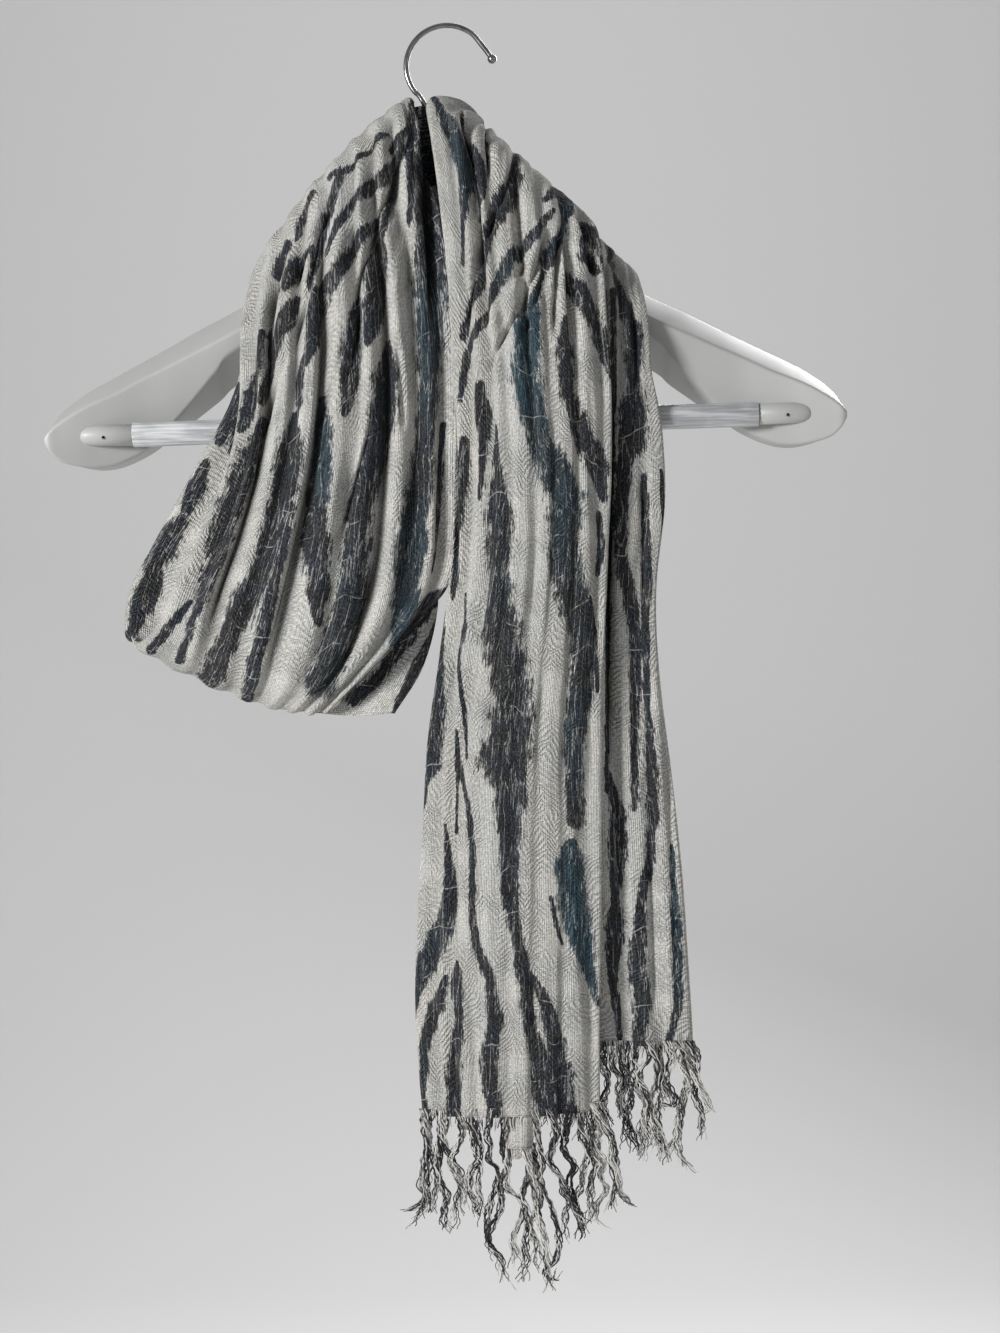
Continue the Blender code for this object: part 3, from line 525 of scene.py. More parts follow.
# Arm stations: distance from the hanger's axis, heights of the back top edge, the front top
# edge, the front lower edge and the back lower edge, then the front and back faces' y (mm)
ARM_STATIONS = (
    (0, -86, -97, -120, -122, -11, 11),
    (12, -92, -107, -126, -132, -11, 11),
    (30, -108, -124, -137, -150, -11, 11.5),
    (60, -124, -141, -154, -170, -11, 12),
    (116, -153, -170, -180, -197, -11, 14),
    (130, -160, -177, -193.5, -208, -11, 14),
    (142, -166, -182.5, -207, -217, -11, 13.5),
    (155, -173, -189, -221, -226.5, -11.5, 13),
    (170, -181, -196, -235.5, -237, -12.5, 12.5),
    (185, -189, -204, -243.5, -244, -15, 11),
    (196, -195, -209, -246, -246, -17.5, 9.5),
    (206, -201, -214, -245.5, -245, -20, 7),
    (217, -210, -221, -243, -241, -22, 2),
    (223, -218, -226, -238, -235, -23, -4),
    (226, -227, -229, -233, -231, -22, -12),
)

# Floor and backdrop (m)
FLOOR_Z = -1.3
FLOOR_FRONT = -3.2
BACKDROP_Y = 2.9
BACKDROP_TOP = 2.4
SWEEP_RADIUS = 0.9
SWEEP_RINGS = 24
SWEEP_COLUMNS = 9
SWEEP_HALF = 3.6

# Lights: name, place, target, width (m) and power (W)
LIGHTS = (
    ("key_light", (-1.25, -1.2, 0.0), (0.0, 0.0, -0.45), 0.4, 35.0),
    ("fill_light", (1.5, -1.5, 0.1), (0.0, 0.0, -0.35), 1.2, 3.0),
    ("stage_light", (0.0, 0.6, 1.5), (0.0, 2.9, 0.4), 1.5, 12.0),
    ("back_light", (0.7, 1.7, 0.7), (0.0, 0.0, -0.35), 1.2, 34.0),
)
ROOM_COLOUR = (0.92, 0.94, 0.96, 1)
ROOM_STRENGTH = 0.29


def spline(rows, count):
    """Read a table at count even steps, on a smooth curve through its rows (Catmull-Rom)."""
    table = np.array(rows, dtype=float)
    padded = np.vstack((2 * table[0] - table[1], table, 2 * table[-1] - table[-2]))
    place = np.linspace(0, len(table) - 1, count)
    first = np.minimum(place.astype(int), len(table) - 2)
    t = (place - first)[:, None]
    a, b, c, d = (padded[first + k] for k in range(4))
    return 0.5 * (2 * b + (c - a) * t + (2 * a - 5 * b + 4 * c - d) * t**2 + (3 * (b - c) + d - a) * t**3)


def unit(vectors):
    """Scale vectors to a length of one."""
    return vectors / np.linalg.norm(vectors, axis=-1, keepdims=True)


def joined(*coordinates):
    """Coordinates side by side on a last axis, each spread to the shape they share."""
    return np.stack(np.broadcast_arrays(*coordinates), axis=-1)


def ease(values):
    """Smooth step: 3 t squared less 2 t cubed, with t kept between 0 and 1."""
    t = np.clip(values, 0, 1)
    return t * t * (3 - 2 * t)


def rumple(x, y, seed):
    """Value noise: random heights at whole numbers of x and y, eased from one to the next."""
    heights = np.random.default_rng(seed).uniform(-1, 1, (NOISE_CELLS, NOISE_CELLS))
    column, line = np.floor(x).astype(int), np.floor(y).astype(int)
    right, down = ease(x - column), ease(y - line)
    corners = [[heights[(column + i) % NOISE_CELLS, (line + j) % NOISE_CELLS] for i in (0, 1)]
               for j in (0, 1)]
    upper = corners[0][0] * (1 - right) + corners[0][1] * right
    lower = corners[1][0] * (1 - right) + corners[1][1] * right
    return upper * (1 - down) + lower * down


def seen(points):
    """Where the camera sees each point, in the photograph's pixels: offsets from the view's axis
    shrink as the distance from the camera grows."""
    shrink = CAMERA_DISTANCE / (CAMERA_DISTANCE + points[..., 1])
    x = CAMERA_X + (points[..., 0] - CAMERA_X) * shrink
    z = CAMERA_Z + (points[..., 2] - CAMERA_Z) * shrink
    return PIXEL_X0 + x / PIXEL, PIXEL_Y0 - z / PIXEL


def crease_depth(x, y, creases):
    """Sum of soft troughs: across each one a raised cosine of the distance from its bowed line,
    along it an eased rise and fall, and a slow uneven swell."""
    total = np.zeros_like(x)
    for x1, y1, x2, y2, bow, half, depth in creases:
        length = math.hypot(x2 - x1, y2 - y1)
        across, along = (x2 - x1) / length, (y2 - y1) / length
        t = ((x - x1) * across + (y - y1) * along) / length
        off = (x - x1) * along - (y - y1) * across - bow * 4 * t * (1 - t)
        profile = 0.5 + 0.5 * np.cos(np.pi * np.clip(off * PIXEL / half, -1, 1))
        fade = ease(t / CREASE_FADE_IN) * ease((1 - t) / CREASE_FADE_OUT)
        swell = 1 - CREASE_SWELL + CREASE_SWELL * np.sin(CREASE_TURNS * t + x1)
        total += depth * profile * fade * swell
    return total


def run_length(points, axis):
    """Millimetres run along one axis of a grid of points, averaged over the other."""
    steps = np.linalg.norm(np.diff(points, axis=axis), axis=2).mean(axis=1 - axis)
    return np.concatenate(([0], np.cumsum(steps)))


def cloth_sheet(rows, outer_side, valleys, creases, across, along, roll, crinkle, seed):
    """A pleated sheet: points, the same points before they are folded, lengths across and down, and
    how deep the folds press each point.

    Each row is the parabola through its outer, middle and inner points. Valleys press it back by
    raised cosines and lean sideways, creases add to that, both edges turn back by a square law,
    and crinkles are value noise drawn out along the warp and, more faintly, along the weft.
    """
    table = spline(rows, along)
    u = np.linspace(0, 1, across)[None, :, None]
    outer, middle, inner = (table[:, None, 3 * k:3 * k + 3] for k in range(3))
    left, right = (outer, inner) if outer_side == "left" else (inner, outer)
    base = left * (2 * u - 1) * (u - 1) + middle * 4 * u * (1 - u) + right * u * (2 * u - 1)
    side = unit(np.gradient(base, axis=1))
    down = unit(np.gradient(base, axis=0))
    front = unit(np.cross(down, side))
    fall = np.linspace(0, 1, along)[:, None]
    press = np.zeros((along, across))
    shift = np.zeros((along, across))
    for top, foot, half, share, lean in valleys:
        place = top + (foot - top) * fall + VALLEY_DRIFT * np.sin(DRIFT_TURNS * fall + DRIFT_PHASE * top)
        away = np.clip((u[..., 0] - place) / half, -1, 1)
        uneven = 1 - VALLEY_UNEVEN + VALLEY_UNEVEN * np.sin(UNEVEN_TURNS * fall + UNEVEN_PHASE * top)
        depth = share * uneven * (0.5 + 0.5 * np.cos(np.pi * away))
        press += depth
        shift += depth * lean
    fold = table[:, 9:10]
    press *= fold
    shift *= fold
    press += crease_depth(*seen(base), creases)
    near_left = np.clip(1 - u[..., 0] / EDGE_SHARE, 0, 1) ** 2
    near_right = np.clip(1 - (1 - u[..., 0]) / EDGE_SHARE, 0, 1) ** 2
    press += roll * (near_left + near_right)
    shift += EDGE_LEAN * roll * (near_left - near_right)
    down_mm = run_length(base, 0)[:, None]
    across_mm = run_length(base, 1)[None, :]
    bend, wide, tall = WARP_BEND
    wavy = across_mm + bend * rumple(across_mm / wide, down_mm / tall, seed)
    for number, (height, wide, tall) in enumerate(CRINKLES, 1):
        press += crinkle * height * rumple(wavy / wide, down_mm / tall, seed + number)
    moved = base - front * press[..., None] + side * shift[..., None]
    return moved, base, joined(across_mm, down_mm), press


def streak_fields(points, streaks):
    """How deep in a streak each point lies (1 on its middle line, 0.5 at its edge) and how teal.

    For each stretch between two stations: the distance from the stretch's line over the width
    there, both read at the foot of the perpendicular; the deepest stretch wins.
    """
    x, y = seen(points)
    ink_and_painted_shadow = np.zeros_like(x)
    teal = np.zeros_like(x)
    for stations in streaks:
        stations = [(*station, 0)[:4] for station in stations]
        for (x1, y1, w1, c1), (x2, y2, w2, c2) in zip(stations, stations[1:]):
            length_squared = (x2 - x1) ** 2 + (y2 - y1) ** 2
            t = np.clip(((x - x1) * (x2 - x1) + (y - y1) * (y2 - y1)) / length_squared, 0, 1)
            off = np.hypot(x - x1 - t * (x2 - x1), y - y1 - t * (y2 - y1))
            width = w1 + (w2 - w1) * t
            depth = np.clip(1 - off / np.maximum(width, 1.0), 0, 1)
            teal = np.where(depth > ink_and_painted_shadow, c1 + (c2 - c1) * t, teal)
            ink_and_painted_shadow = np.maximum(ink_and_painted_shadow, depth)
    return ink_and_painted_shadow, teal


def grid_quads(along, across, closed=False):
    """Corner numbers of the quads of a grid of points, closed round its second side if asked."""
    first = np.arange(along * across).reshape(along, across)
    right = np.roll(first, -1, axis=1)
    if not closed:
        first, right = first[:, :-1], right[:, :-1]
    quads = np.stack((first[:-1], first[1:], right[1:], right[:-1]), axis=-1)
    return quads.reshape(-1, 4)


def closed_rings(along, sides):
    """Quads between rings of points, and one lid on the first ring and one on the last."""
    last = (along - 1) * sides
    lids = [list(range(sides)), list(range(last + sides - 1, last - 1, -1))]
    return grid_quads(along, sides, closed=True).tolist() + lids


def scene_object(name, contents):
    """A new object of the scene that holds a mesh, a light or a camera."""
    made = bpy.data.objects.new(name, contents)
    bpy.context.scene.collection.objects.link(made)
    return made


def smooth_mesh(name, points, faces, finish):
    """A smooth mesh object in one finish, from points in metres."""
    mesh = bpy.data.meshes.new(name)
    mesh.from_pydata(points.tolist(), [], [list(face) for face in faces])
    mesh.shade_smooth()
    mesh.materials.append(finish)
    return scene_object(name, mesh)


def mesh_piece(name, points, faces, finish, nodes):
    """A finished piece from points in millimetres, riding on the one body, in place of its nodes."""
    piece = smooth_mesh(name, points * MM, faces, finish)
    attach(piece, "root")
    if nodes:
        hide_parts(*nodes)
    return piece


def point_values(piece, name, values):
    """Store one number for each point of a piece."""
    layer = piece.data.attributes.new(name, "FLOAT", "POINT")
    layer.data.foreach_set("value", np.ascontiguousarray(values, dtype=np.float32).ravel())


def surface_piece(name, points, lengths, finish, nodes):
    """A thin wall of cloth on a grid of points, its UV map the thread lengths in centimetres."""
    quads = grid_quads(*points.shape[:2])
    piece = mesh_piece(name, points.reshape(-1, 3), quads, finish, nodes)
    threads = piece.data.uv_layers.new(name="threads")
    threads.data.foreach_set("uv", (lengths.reshape(-1, 2)[quads.ravel()] / 10).ravel())
    wall = piece.modifiers.new("wall", "SOLIDIFY")
    wall.thickness = CLOTH_WALL
    wall.offset = 0.0
    return piece


def cloth_piece(name, node, sheet, streaks, finish):
    """One stretch of the scarf, with its print and the painted shade of its deep folds on its points."""
    moved, base, lengths, depth = sheet
    piece = surface_piece(name, moved, lengths, finish, [node])
    # The print, and the few bands of painted shadow that the streak tables also hold
    ink_and_painted_shadow, teal = streak_fields(base, streaks)
    point_values(piece, "ink_and_painted_shadow", ink_and_painted_shadow)
    point_values(piece, "teal", teal)
    # Painted shade: the deeper a fold presses, the darker its hollow is painted
    point_values(piece, "painted_fold_shade", ease((depth - FOLD_SHADE_START) / FOLD_SHADE_SPAN))
    return piece


def tubes(paths, radii, sides):
    """Points and faces of tubes with lids: circles square to each path's direction."""
    ahead = unit(np.gradient(paths, axis=1))
    across = unit(np.cross(ahead, TUBE_SIDE))
    other = np.cross(ahead, across)
    turn = np.linspace(0, 2 * np.pi, sides, endpoint=False)
    ring = across[:, :, None] * np.cos(turn)[:, None] + other[:, :, None] * np.sin(turn)[:, None]
    points = paths[:, :, None] + ring * radii[:, :, None, None]
    quads = grid_quads(paths.shape[1], sides, closed=True)
    starts = np.arange(len(paths))[:, None, None] * paths.shape[1] * sides
    faces = (quads[None] + starts).reshape(-1, 4)[:, ::-1]
    last = (paths.shape[1] - 1) * sides
    caps = np.concatenate((np.arange(sides)[None], last + np.arange(sides)[None, ::-1]))
    lids = (caps[None] + starts).reshape(-1, sides)
    return points.reshape(-1, 3), faces.tolist() + lids.tolist()


def standing(x, y, depth):
    """The inverse of seen: where a pixel meets the upright plane at a depth, in millimetres."""
    shrink = CAMERA_DISTANCE / (CAMERA_DISTANCE + depth)
    across = CAMERA_X + ((x - PIXEL_X0) * PIXEL - CAMERA_X) / shrink
    height = CAMERA_Z + ((PIXEL_Y0 - y) * PIXEL - CAMERA_Z) / shrink
    return joined(across, depth, height)


def hem_depth(x, hem):
    """How deep the hem's line lies where the camera sees a pixel's column."""
    columns = seen(hem)[0]
    order = np.argsort(columns)
    return np.interp(x, columns[order], hem[order, 1])


def lock_yarns(line, chance):
    """Paths of the yarns that wind loosely round a lock's line.

    Each is a helix, flat and wide at the root by an exponential, narrow under it and opening
    towards the tip, plus its own slow sine, a finer crimp and a fray in the last seventh. Yarns end
    at unlike places.
    """
    own = (LOCK_YARNS, 1)
    place = np.linspace(0, 1, YARN_RINGS) * chance.uniform(*YARN_SHARES, own) * (len(line) - 1)
    first = np.minimum(place.astype(int), len(line) - 2)
    path = line[first] + (line[first + 1] - line[first]) * (place - first)[..., None]
    steps = np.linalg.norm(np.diff(path, axis=1), axis=2)
    run = np.concatenate((np.zeros(own), np.cumsum(steps, axis=1)), axis=1)
    fall = np.linspace(0, 1, YARN_RINGS)
    wind = 2 * np.pi * np.arange(LOCK_YARNS)[:, None] / LOCK_YARNS + run * chance.uniform(*WINDING)
    loose = LOCK_RADIUS * (LOCK_NARROWEST + LOCK_OPENING * fall) * chance.uniform(*RADIUS_SHARES, own)
    sway = chance.uniform(*WAVE_DEPTHS, own) * np.sin(run * chance.uniform(*WAVE_TURNS, own) + wind[:, :1])
    fray = chance.uniform(-FRAY, FRAY, own) * ease((fall - FRAY_START) / (1 - FRAY_START)) ** 2
    sway = sway + CRIMP * np.sin(run * chance.uniform(*CRIMP_TURNS, own) + chance.uniform(0, 6.28, own))
    grip = ease(run / ROOT_REACH)
    path[..., 0] += (loose + ROOT_FLARE * np.exp(-run / ROOT_REACH)) * np.cos(wind) + sway * grip + fray
    path[..., 1] += loose * np.sin(wind) + sway[::-1] * grip
    return path


def fringe_piece(name, node, hem, locks, finish, seed):
    """The locks of one tail, each on its own spline, and short loose ends between them."""
    chance = np.random.default_rng(seed)
    paths = []
    tones = []
    for tone, *stations in locks:
        x, y = spline(stations, LOCK_STEPS).T
        turn = np.linspace(0, LOCK_SWAY_TURN, LOCK_STEPS) + tone * LOCK_SWAY_PHASE
        depth = hem_depth(x[:1], hem) + LOCK_SWAY * np.sin(turn)
        paths.append(lock_yarns(standing(x, y, depth), chance))
        tones.append(np.clip(tone + chance.normal(0, TONE_SPREAD, LOCK_YARNS), 0, 1))
    ends = hem[np.linspace(1, len(hem) - 2, LOOSE_ENDS).astype(int)]
    fall = np.linspace(0, 1, YARN_RINGS)[None, :]
    length = chance.uniform(*LOOSE_LENGTHS, (LOOSE_ENDS, 1))
    lean = chance.uniform(-LOOSE_LEAN, LOOSE_LEAN, (LOOSE_ENDS, 1))
    bend = chance.uniform(-LOOSE_BEND, LOOSE_BEND, (LOOSE_ENDS, 1))
    short = joined(lean * length * fall + bend * np.sin(4 * fall), 0.4 * bend * fall,
                   LOOSE_ROOT - (length + LOOSE_ROOT) * fall)
    paths.append(ends[:, None, :] + short)
    tones.append(chance.uniform(*LOOSE_TONES, LOOSE_ENDS))
    paths = np.concatenate(paths)
    tones = np.concatenate(tones)
    taper = 1.0 - YARN_TAPER * np.linspace(0, 1, YARN_RINGS) ** 2
    radii = YARN_RADIUS * taper * chance.uniform(*YARN_THICKNESS, (len(paths), 1))
    points, faces = tubes(paths, radii, YARN_SIDES)
    piece = mesh_piece(name, points, faces, finish, [node])
    point_values(piece, "tone", np.repeat(tones, YARN_RINGS * YARN_SIDES))
    return piece


def tab_piece(hem, finish):
    """A tab that the hem was left with: a grid just behind the hem's line, with a ragged foot."""
    left, right, top, foot = HEM_TAB
    u = np.linspace(0, 1, TAB_COLUMNS)[None, :]
    v = np.linspace(0, 1, TAB_LINES)[:, None]
    ragged = sum(height * rumple(times * u, 0.5, seed) for height, times, seed in TAB_RAGS)
    x = left + (right - left) * (u + TAB_BEND * np.sin(4 * v) - TAB_NARROWS * v * (u - 0.5))
    y = top + (foot - top + ragged) * v
    depth = hem_depth(x, hem) + TAB_BEHIND + TAB_WAVE * np.sin(5 * u + 3 * v)
    points = standing(x, y, depth)
    lengths = joined(x, y) * PIXEL
    piece = surface_piece("hem_tab", points, lengths, finish, [])
    for name in ("ink_and_painted_shadow", "teal", "painted_fold_shade"):
        point_values(piece, name, 0 * x)
    return piece


def tilted(points):
    """Turn points drawn on the level hanger about the origin, the way its load tilts it."""
    cos, sin = math.cos(HANGER_TILT), math.sin(HANGER_TILT)
    x, y, z = points[..., 0], points[..., 1], points[..., 2]
    return joined(x * cos - z * sin, y, x * sin + z * cos)


def arms_piece(finish):
    """Both arms as one loft. Each section is a four-cornered outline whose corners are rounded by
    quadratic curves, with a front face that slopes back as it falls; the sections follow the
    stations on a smooth curve."""
    half = spline(ARM_STATIONS, ARM_SECTIONS)
    half = half[np.argsort(half[:, 0])]
    other = half[:0:-1].copy()
    other[:, 0] *= -1
    table = np.vstack((other, half))
    reach, back_top, front_top, front_low, back_low, front_y, back_y = table.T
    face_foot = front_y + FACE_SLOPE * (front_top - front_low)
    corners = np.stack((joined(front_y, front_top), joined(back_y, back_top),
                        joined(back_y, back_low), joined(face_foot, front_low)), axis=1)
    before = np.roll(corners, 1, axis=1) - corners
    after = np.roll(corners, -1, axis=1) - corners
    near = np.minimum(np.linalg.norm(before, axis=2), np.linalg.norm(after, axis=2))[..., None]
    cut = np.minimum(ARM_EDGE_ROUND, ARM_EDGE_SHARE * near)
    start = corners + unit(before) * cut
    end = corners + unit(after) * cut
    t = np.linspace(0, 1, CORNER_STEPS)[None, None, :, None]
    ring = (1 - t) ** 2 * start[:, :, None] + 2 * t * (1 - t) * corners[:, :, None] + t**2 * end[:, :, None]
    sides = 4 * CORNER_STEPS
    ring = ring.reshape(len(table), sides, 2)
    points = joined((HANGER_AXIS_X + reach)[:, None], ring[..., 0], ring[..., 1])
    faces = closed_rings(len(table), sides)
    return mesh_piece("coat_hanger", tilted(points.reshape(-1, 3)), faces, finish,
                      ["hanger_body"])


def turned_piece(name, node, profile, ribs, finish):
    """A round piece on the bar's axis from a profile of reach, radius; ribs are a cosine round it."""
    turn = np.linspace(0, 2 * np.pi, ROUND_SIDES, endpoint=False)[None, :]
    reach, radius = np.array(profile, dtype=float).T[:, :, None]
    ribbed = radius - RIB_DEPTH * (0.5 - 0.5 * np.cos(ribs * turn))
    points = joined(HANGER_AXIS_X + reach, BAR_Y + ribbed * np.cos(turn), BAR_Z + ribbed * np.sin(turn))
    faces = closed_rings(len(profile), ROUND_SIDES)
    return mesh_piece(name, tilted(points.reshape(-1, 3)), faces, finish, [node])


def pin_piece(name, reach, finish):
    """The head of the pin through a cap: a short tube towards the front, its end a little proud."""
    behind, share = np.array(PIN_PROFILE).T
    path = joined(HANGER_AXIS_X + reach, BAR_Y - CAP_RADIUS + behind, BAR_Z + PIN_RISE)[None]
    points, faces = tubes(path, share[None] * PIN_RADIUS, PIN_SIDES)
    return mesh_piece(name, tilted(points), faces, finish, [])


def hook_piece(finish):
    """Round wire: up the stem, round the arc, down the short tail, with a ball on its tip."""
    centre_x, centre_z = HOOK_CENTRE
    turn = np.radians(np.linspace(*HOOK_ARC_DEGREES, HOOK_ARC_POINTS))
    arc = joined(centre_x + HOOK_RADIUS * np.cos(turn), centre_z + HOOK_RADIUS * np.sin(turn))
    route = np.vstack((STEM_POINTS, arc, HOOK_TAIL))
    line = spline(route, WIRE_RINGS)
    path = joined(line[:, 0], 0, line[:, 1])[None]
    points, faces = tubes(path, np.full(path.shape[:2], WIRE_RADIUS), WIRE_SIDES)
    lat = np.linspace(BALL_POLE, np.pi - BALL_POLE, BALL_RINGS)[:, None]
    lon = np.linspace(0, 2 * np.pi, BALL_SIDES, endpoint=False)[None, :]
    ball = BALL_RADIUS * joined(np.sin(lat) * np.cos(lon), np.sin(lat) * np.sin(lon), np.cos(lat))
    faces += [[corner + len(points) for corner in face] for face in closed_rings(BALL_RINGS, BALL_SIDES)]
    points = np.vstack((points, ball.reshape(-1, 3) + path[0, -1]))
    return mesh_piece("hook_wire", tilted(points), faces, finish, ["hook"])


class Value:
    """One output socket of a finish. Arithmetic on it adds a Math node."""

    def __init__(self, finish, socket):
        self.finish = finish
        self.socket = socket

    def maths(self, operation, first, second):
        return self.finish.node("ShaderNodeMath", {"operation": operation}, {0: first, 1: second})

    def __add__(self, other):
        return self.maths("ADD", self, other)

    __radd__ = __add__

    def __mul__(self, other):
        return self.maths("MULTIPLY", self, other)

    __rmul__ = __mul__

    def __sub__(self, other):
        return self.maths("SUBTRACT", self, other)

    def __rsub__(self, other):
        return self.maths("SUBTRACT", other, self)

    def __abs__(self):
        return self.maths("ABSOLUTE", self, 0.0)


class Finish:
    """A material being built: its nodes, and one method that adds any node."""

    def __init__(self, name):
        self.material = bpy.data.materials.new(name)
        self.material.use_nodes = True
        self.tree = self.material.node_tree
        self.shader = self.tree.nodes["Principled BSDF"]

    def node(self, kind, settings=None, sockets=None, out=0):
        """Add a node: its settings first, then each socket's value or link; gives one output."""
        made = self.tree.nodes.new(kind)
        for name, setting in (settings or {}).items():
            setattr(made, name, setting)
        for name, given in (sockets or {}).items():
            self.feed(made.inputs[name], given)
        return Value(self, made.outputs[out])

    def feed(self, socket, given):
        """Link a value to a socket, or set the socket's own number."""
        if isinstance(given, Value):
            self.tree.links.new(given.socket, socket)
        else:
            socket.default_value = given

    def stretch(self, vector, scale):
        """Scale a vector along each axis."""
        return self.node("ShaderNodeVectorMath", {"operation": "MULTIPLY"}, {0: vector, 1: scale})

    def maths(self, operation, value):
        """A function of one value."""
        return self.node("ShaderNodeMath", {"operation": operation}, {0: value})

    def attribute(self, name):
        """A number stored on the piece's points."""
        return self.node("ShaderNodeAttribute", {"attribute_name": name}, out=2)

    def place(self):
        """Object coordinates."""
        return self.node("ShaderNodeTexCoord", out="Object")

    def noise(self, vector, scale, detail=2.0, roughness=0.5):
        """Smooth noise between 0 and 1; three scales draw it out along the axes."""
        if isinstance(scale, tuple):
            vector, scale = self.stretch(vector, scale), 1.0
        return self.node("ShaderNodeTexNoise", {}, {"Vector": vector, "Scale": scale, "Detail": detail,
                                                    "Roughness": roughness})

    def step(self, value, low, high):
        """0 below low, 1 above high, and smooth between."""
        return self.node("ShaderNodeMapRange", {"interpolation_type": "SMOOTHSTEP"},
                         {"Value": value, "From Min": low, "From Max": high})

    def blend(self, share, first, second):
        """Mix two colours."""
        return self.node("ShaderNodeMix", {"data_type": "RGBA"}, {0: share, 6: first, 7: second}, out=2)

    def bump(self, height, distance, strength):
        """Relief from a height."""
        return self.node("ShaderNodeBump", {}, {"Height": height, "Distance": distance, "Strength": strength})

    def give(self, **sockets):
        """Feed the shader's sockets, named with _ for a space."""
        for name, given in sockets.items():
            self.feed(self.shader.inputs[name.replace("_", " ")], given)
        return self.material


def printed_gauze():
    """Crinkled cotton gauze with a dry streaked print, and painted shade in its deep folds and between its
    ribs. The print's edges and breaks run along the warp.
    """
    cloth = Finish("printed_gauze")
    threads = cloth.node("ShaderNodeUVMap", {"uv_map": "threads"})
    ink_and_painted_shadow = cloth.attribute("ink_and_painted_shadow")
    teal = cloth.attribute("teal")
    painted_fold_shade = cloth.attribute("painted_fold_shade")
    across = cloth.node("ShaderNodeSeparateXYZ", {}, {0: threads})
    down = Value(cloth, across.socket.node.outputs[1])

    # Print: the depth in a streak, roughened by noise drawn out along the warp, is cut near a half
    brush = cloth.noise(threads, (10.0, 0.8, 1.0), 4.0, 0.65)
    hair = cloth.noise(threads, (26.0, 3.0, 1.0), 2.0)
    lobe = cloth.noise(threads, (1.6, 1.0, 1.0), 2.0)
    speck = cloth.noise(threads, (12.0, 6.5, 1.0), 3.0, 0.7)
    patch = cloth.noise(threads, 0.5, 2.0)
    rough_ink = ink_and_painted_shadow + (brush - 0.5) * 0.95 + (hair - 0.5) * 0.50 + (lobe - 0.5) * 0.55
    printed = cloth.step(rough_ink, 0.42, 0.58)

    # Pale slits along the warp and slubs across it break the ink
    slit_height = cloth.noise(threads, (3.4, 0.26, 1.0), 2.0)
    slit = 1 - cloth.step(abs(slit_height - 0.5), 0.004, 0.022)
    slit = slit * cloth.step(hair, 0.36, 0.50)
    wander = cloth.noise(threads, (0.4, 0.1, 1.0))
    slub_place = down * 0.43 + across * 0.07 + wander * 1.6
    slub_line = cloth.maths("FRACT", slub_place)
    slub = 1 - cloth.step(abs(slub_line - 0.5), 0.006, 0.022)
    slub = slub * cloth.step(cloth.noise(threads, (0.7, 1.9, 1.0), 1.0), 0.48, 0.62)
    printed = printed * (1 - slit * 0.50) * (1 - slub * 0.48)

    # Crepe: fine ribs across, bent to a zigzag from column to column, on part of the cloth
    column = cloth.maths("FRACT", across * 0.62 + patch * 1.2)
    crepe = cloth.maths("SINE", down * 20.0 + abs(column - 0.5) * 36.0 + speck * 2.0 + lobe * 5.0)
    crepe_share = cloth.step(cloth.noise(threads, 0.35, 1.0), 0.34, 0.56)

    # Bare cloth: warm and cool patches, light and dark specks, painted shade between the crepe's ribs
    warm = cloth.step(cloth.noise(threads, 0.32, 2.0), 0.38, 0.66)
    ground = cloth.blend(warm, (0.58, 0.575, 0.55, 1), (0.65, 0.62, 0.56, 1))
    ground = cloth.blend(cloth.step(speck, 0.36, 0.66), cloth.blend(0.44, ground, (0.20, 0.20, 0.19, 1)),
                         cloth.blend(0.44, ground, (0.88, 0.87, 0.84, 1)))
    ground = cloth.blend((0.5 - crepe * 0.5) * crepe_share * 0.36, ground, (0.24, 0.235, 0.22, 1))
    ground = cloth.blend(slub * 0.6, ground, (0.78, 0.77, 0.73, 1))

    # Ink: charcoal or navy, teal where the streak says so, dry and speckled; the same dark also paints the
    # bands of painted shadow, and black painted shade fills the deep folds
    navy = cloth.step(cloth.noise(threads, 0.42, 1.0), 0.42, 0.6)
    charcoal = cloth.blend(navy, (0.018, 0.018, 0.019, 1), (0.016, 0.020, 0.029, 1))
    blue = cloth.blend(cloth.step(brush, 0.38, 0.62), (0.008, 0.022, 0.036, 1), (0.036, 0.098, 0.122, 1))
    dark = cloth.blend(teal, charcoal, blue)
    dry = cloth.step(brush * 0.6 + hair * 0.4, 0.46, 0.66)
    dark = cloth.blend(dry * 0.62, dark, (0.088, 0.092, 0.100, 1))
    dark = cloth.blend(cloth.step(speck, 0.48, 0.68) * 0.46, dark, (0.17, 0.176, 0.18, 1))
    colour = cloth.blend(printed, ground, dark)
    colour = cloth.blend(painted_fold_shade * 0.8, colour, (0.010, 0.010, 0.011, 1))

    warp = cloth.maths("SINE", across * 78.0)
    weft = cloth.maths("SINE", down * 70.0)
    relief = crepe * crepe_share * 1.2 + warp * 0.35 + weft * 0.35 + brush * 2.0 + slub * 1.5
    return cloth.give(Base_Color=colour, Roughness=0.9, Normal=cloth.bump(relief, 0.0005, 0.9),
                      Sheen_Weight=0.02, Sheen_Roughness=0.6, Specular_IOR_Level=0.12)


def fringe_cotton():
    """Twisted cotton yarn, from charcoal to off-white, with ply marks along it."""
    yarn = Finish("fringe_cotton")
    place = yarn.place()
    tone = yarn.attribute("tone")
    mottle = yarn.noise(place, 420.0, 3.0, 0.6)
    share = yarn.step(tone + (mottle - 0.5) * 0.8, 0.22, 0.72)
    colour = yarn.blend(share, (0.56, 0.545, 0.515, 1), (0.022, 0.022, 0.027, 1))
    ply = yarn.noise(yarn.stretch(place, (1.0, 1.0, 0.6)), 1900.0, 2.0)
    return yarn.give(Base_Color=colour, Roughness=0.92, Normal=yarn.bump(ply, 0.0004, 0.7),
                     Sheen_Weight=0.15, Specular_IOR_Level=0.2)


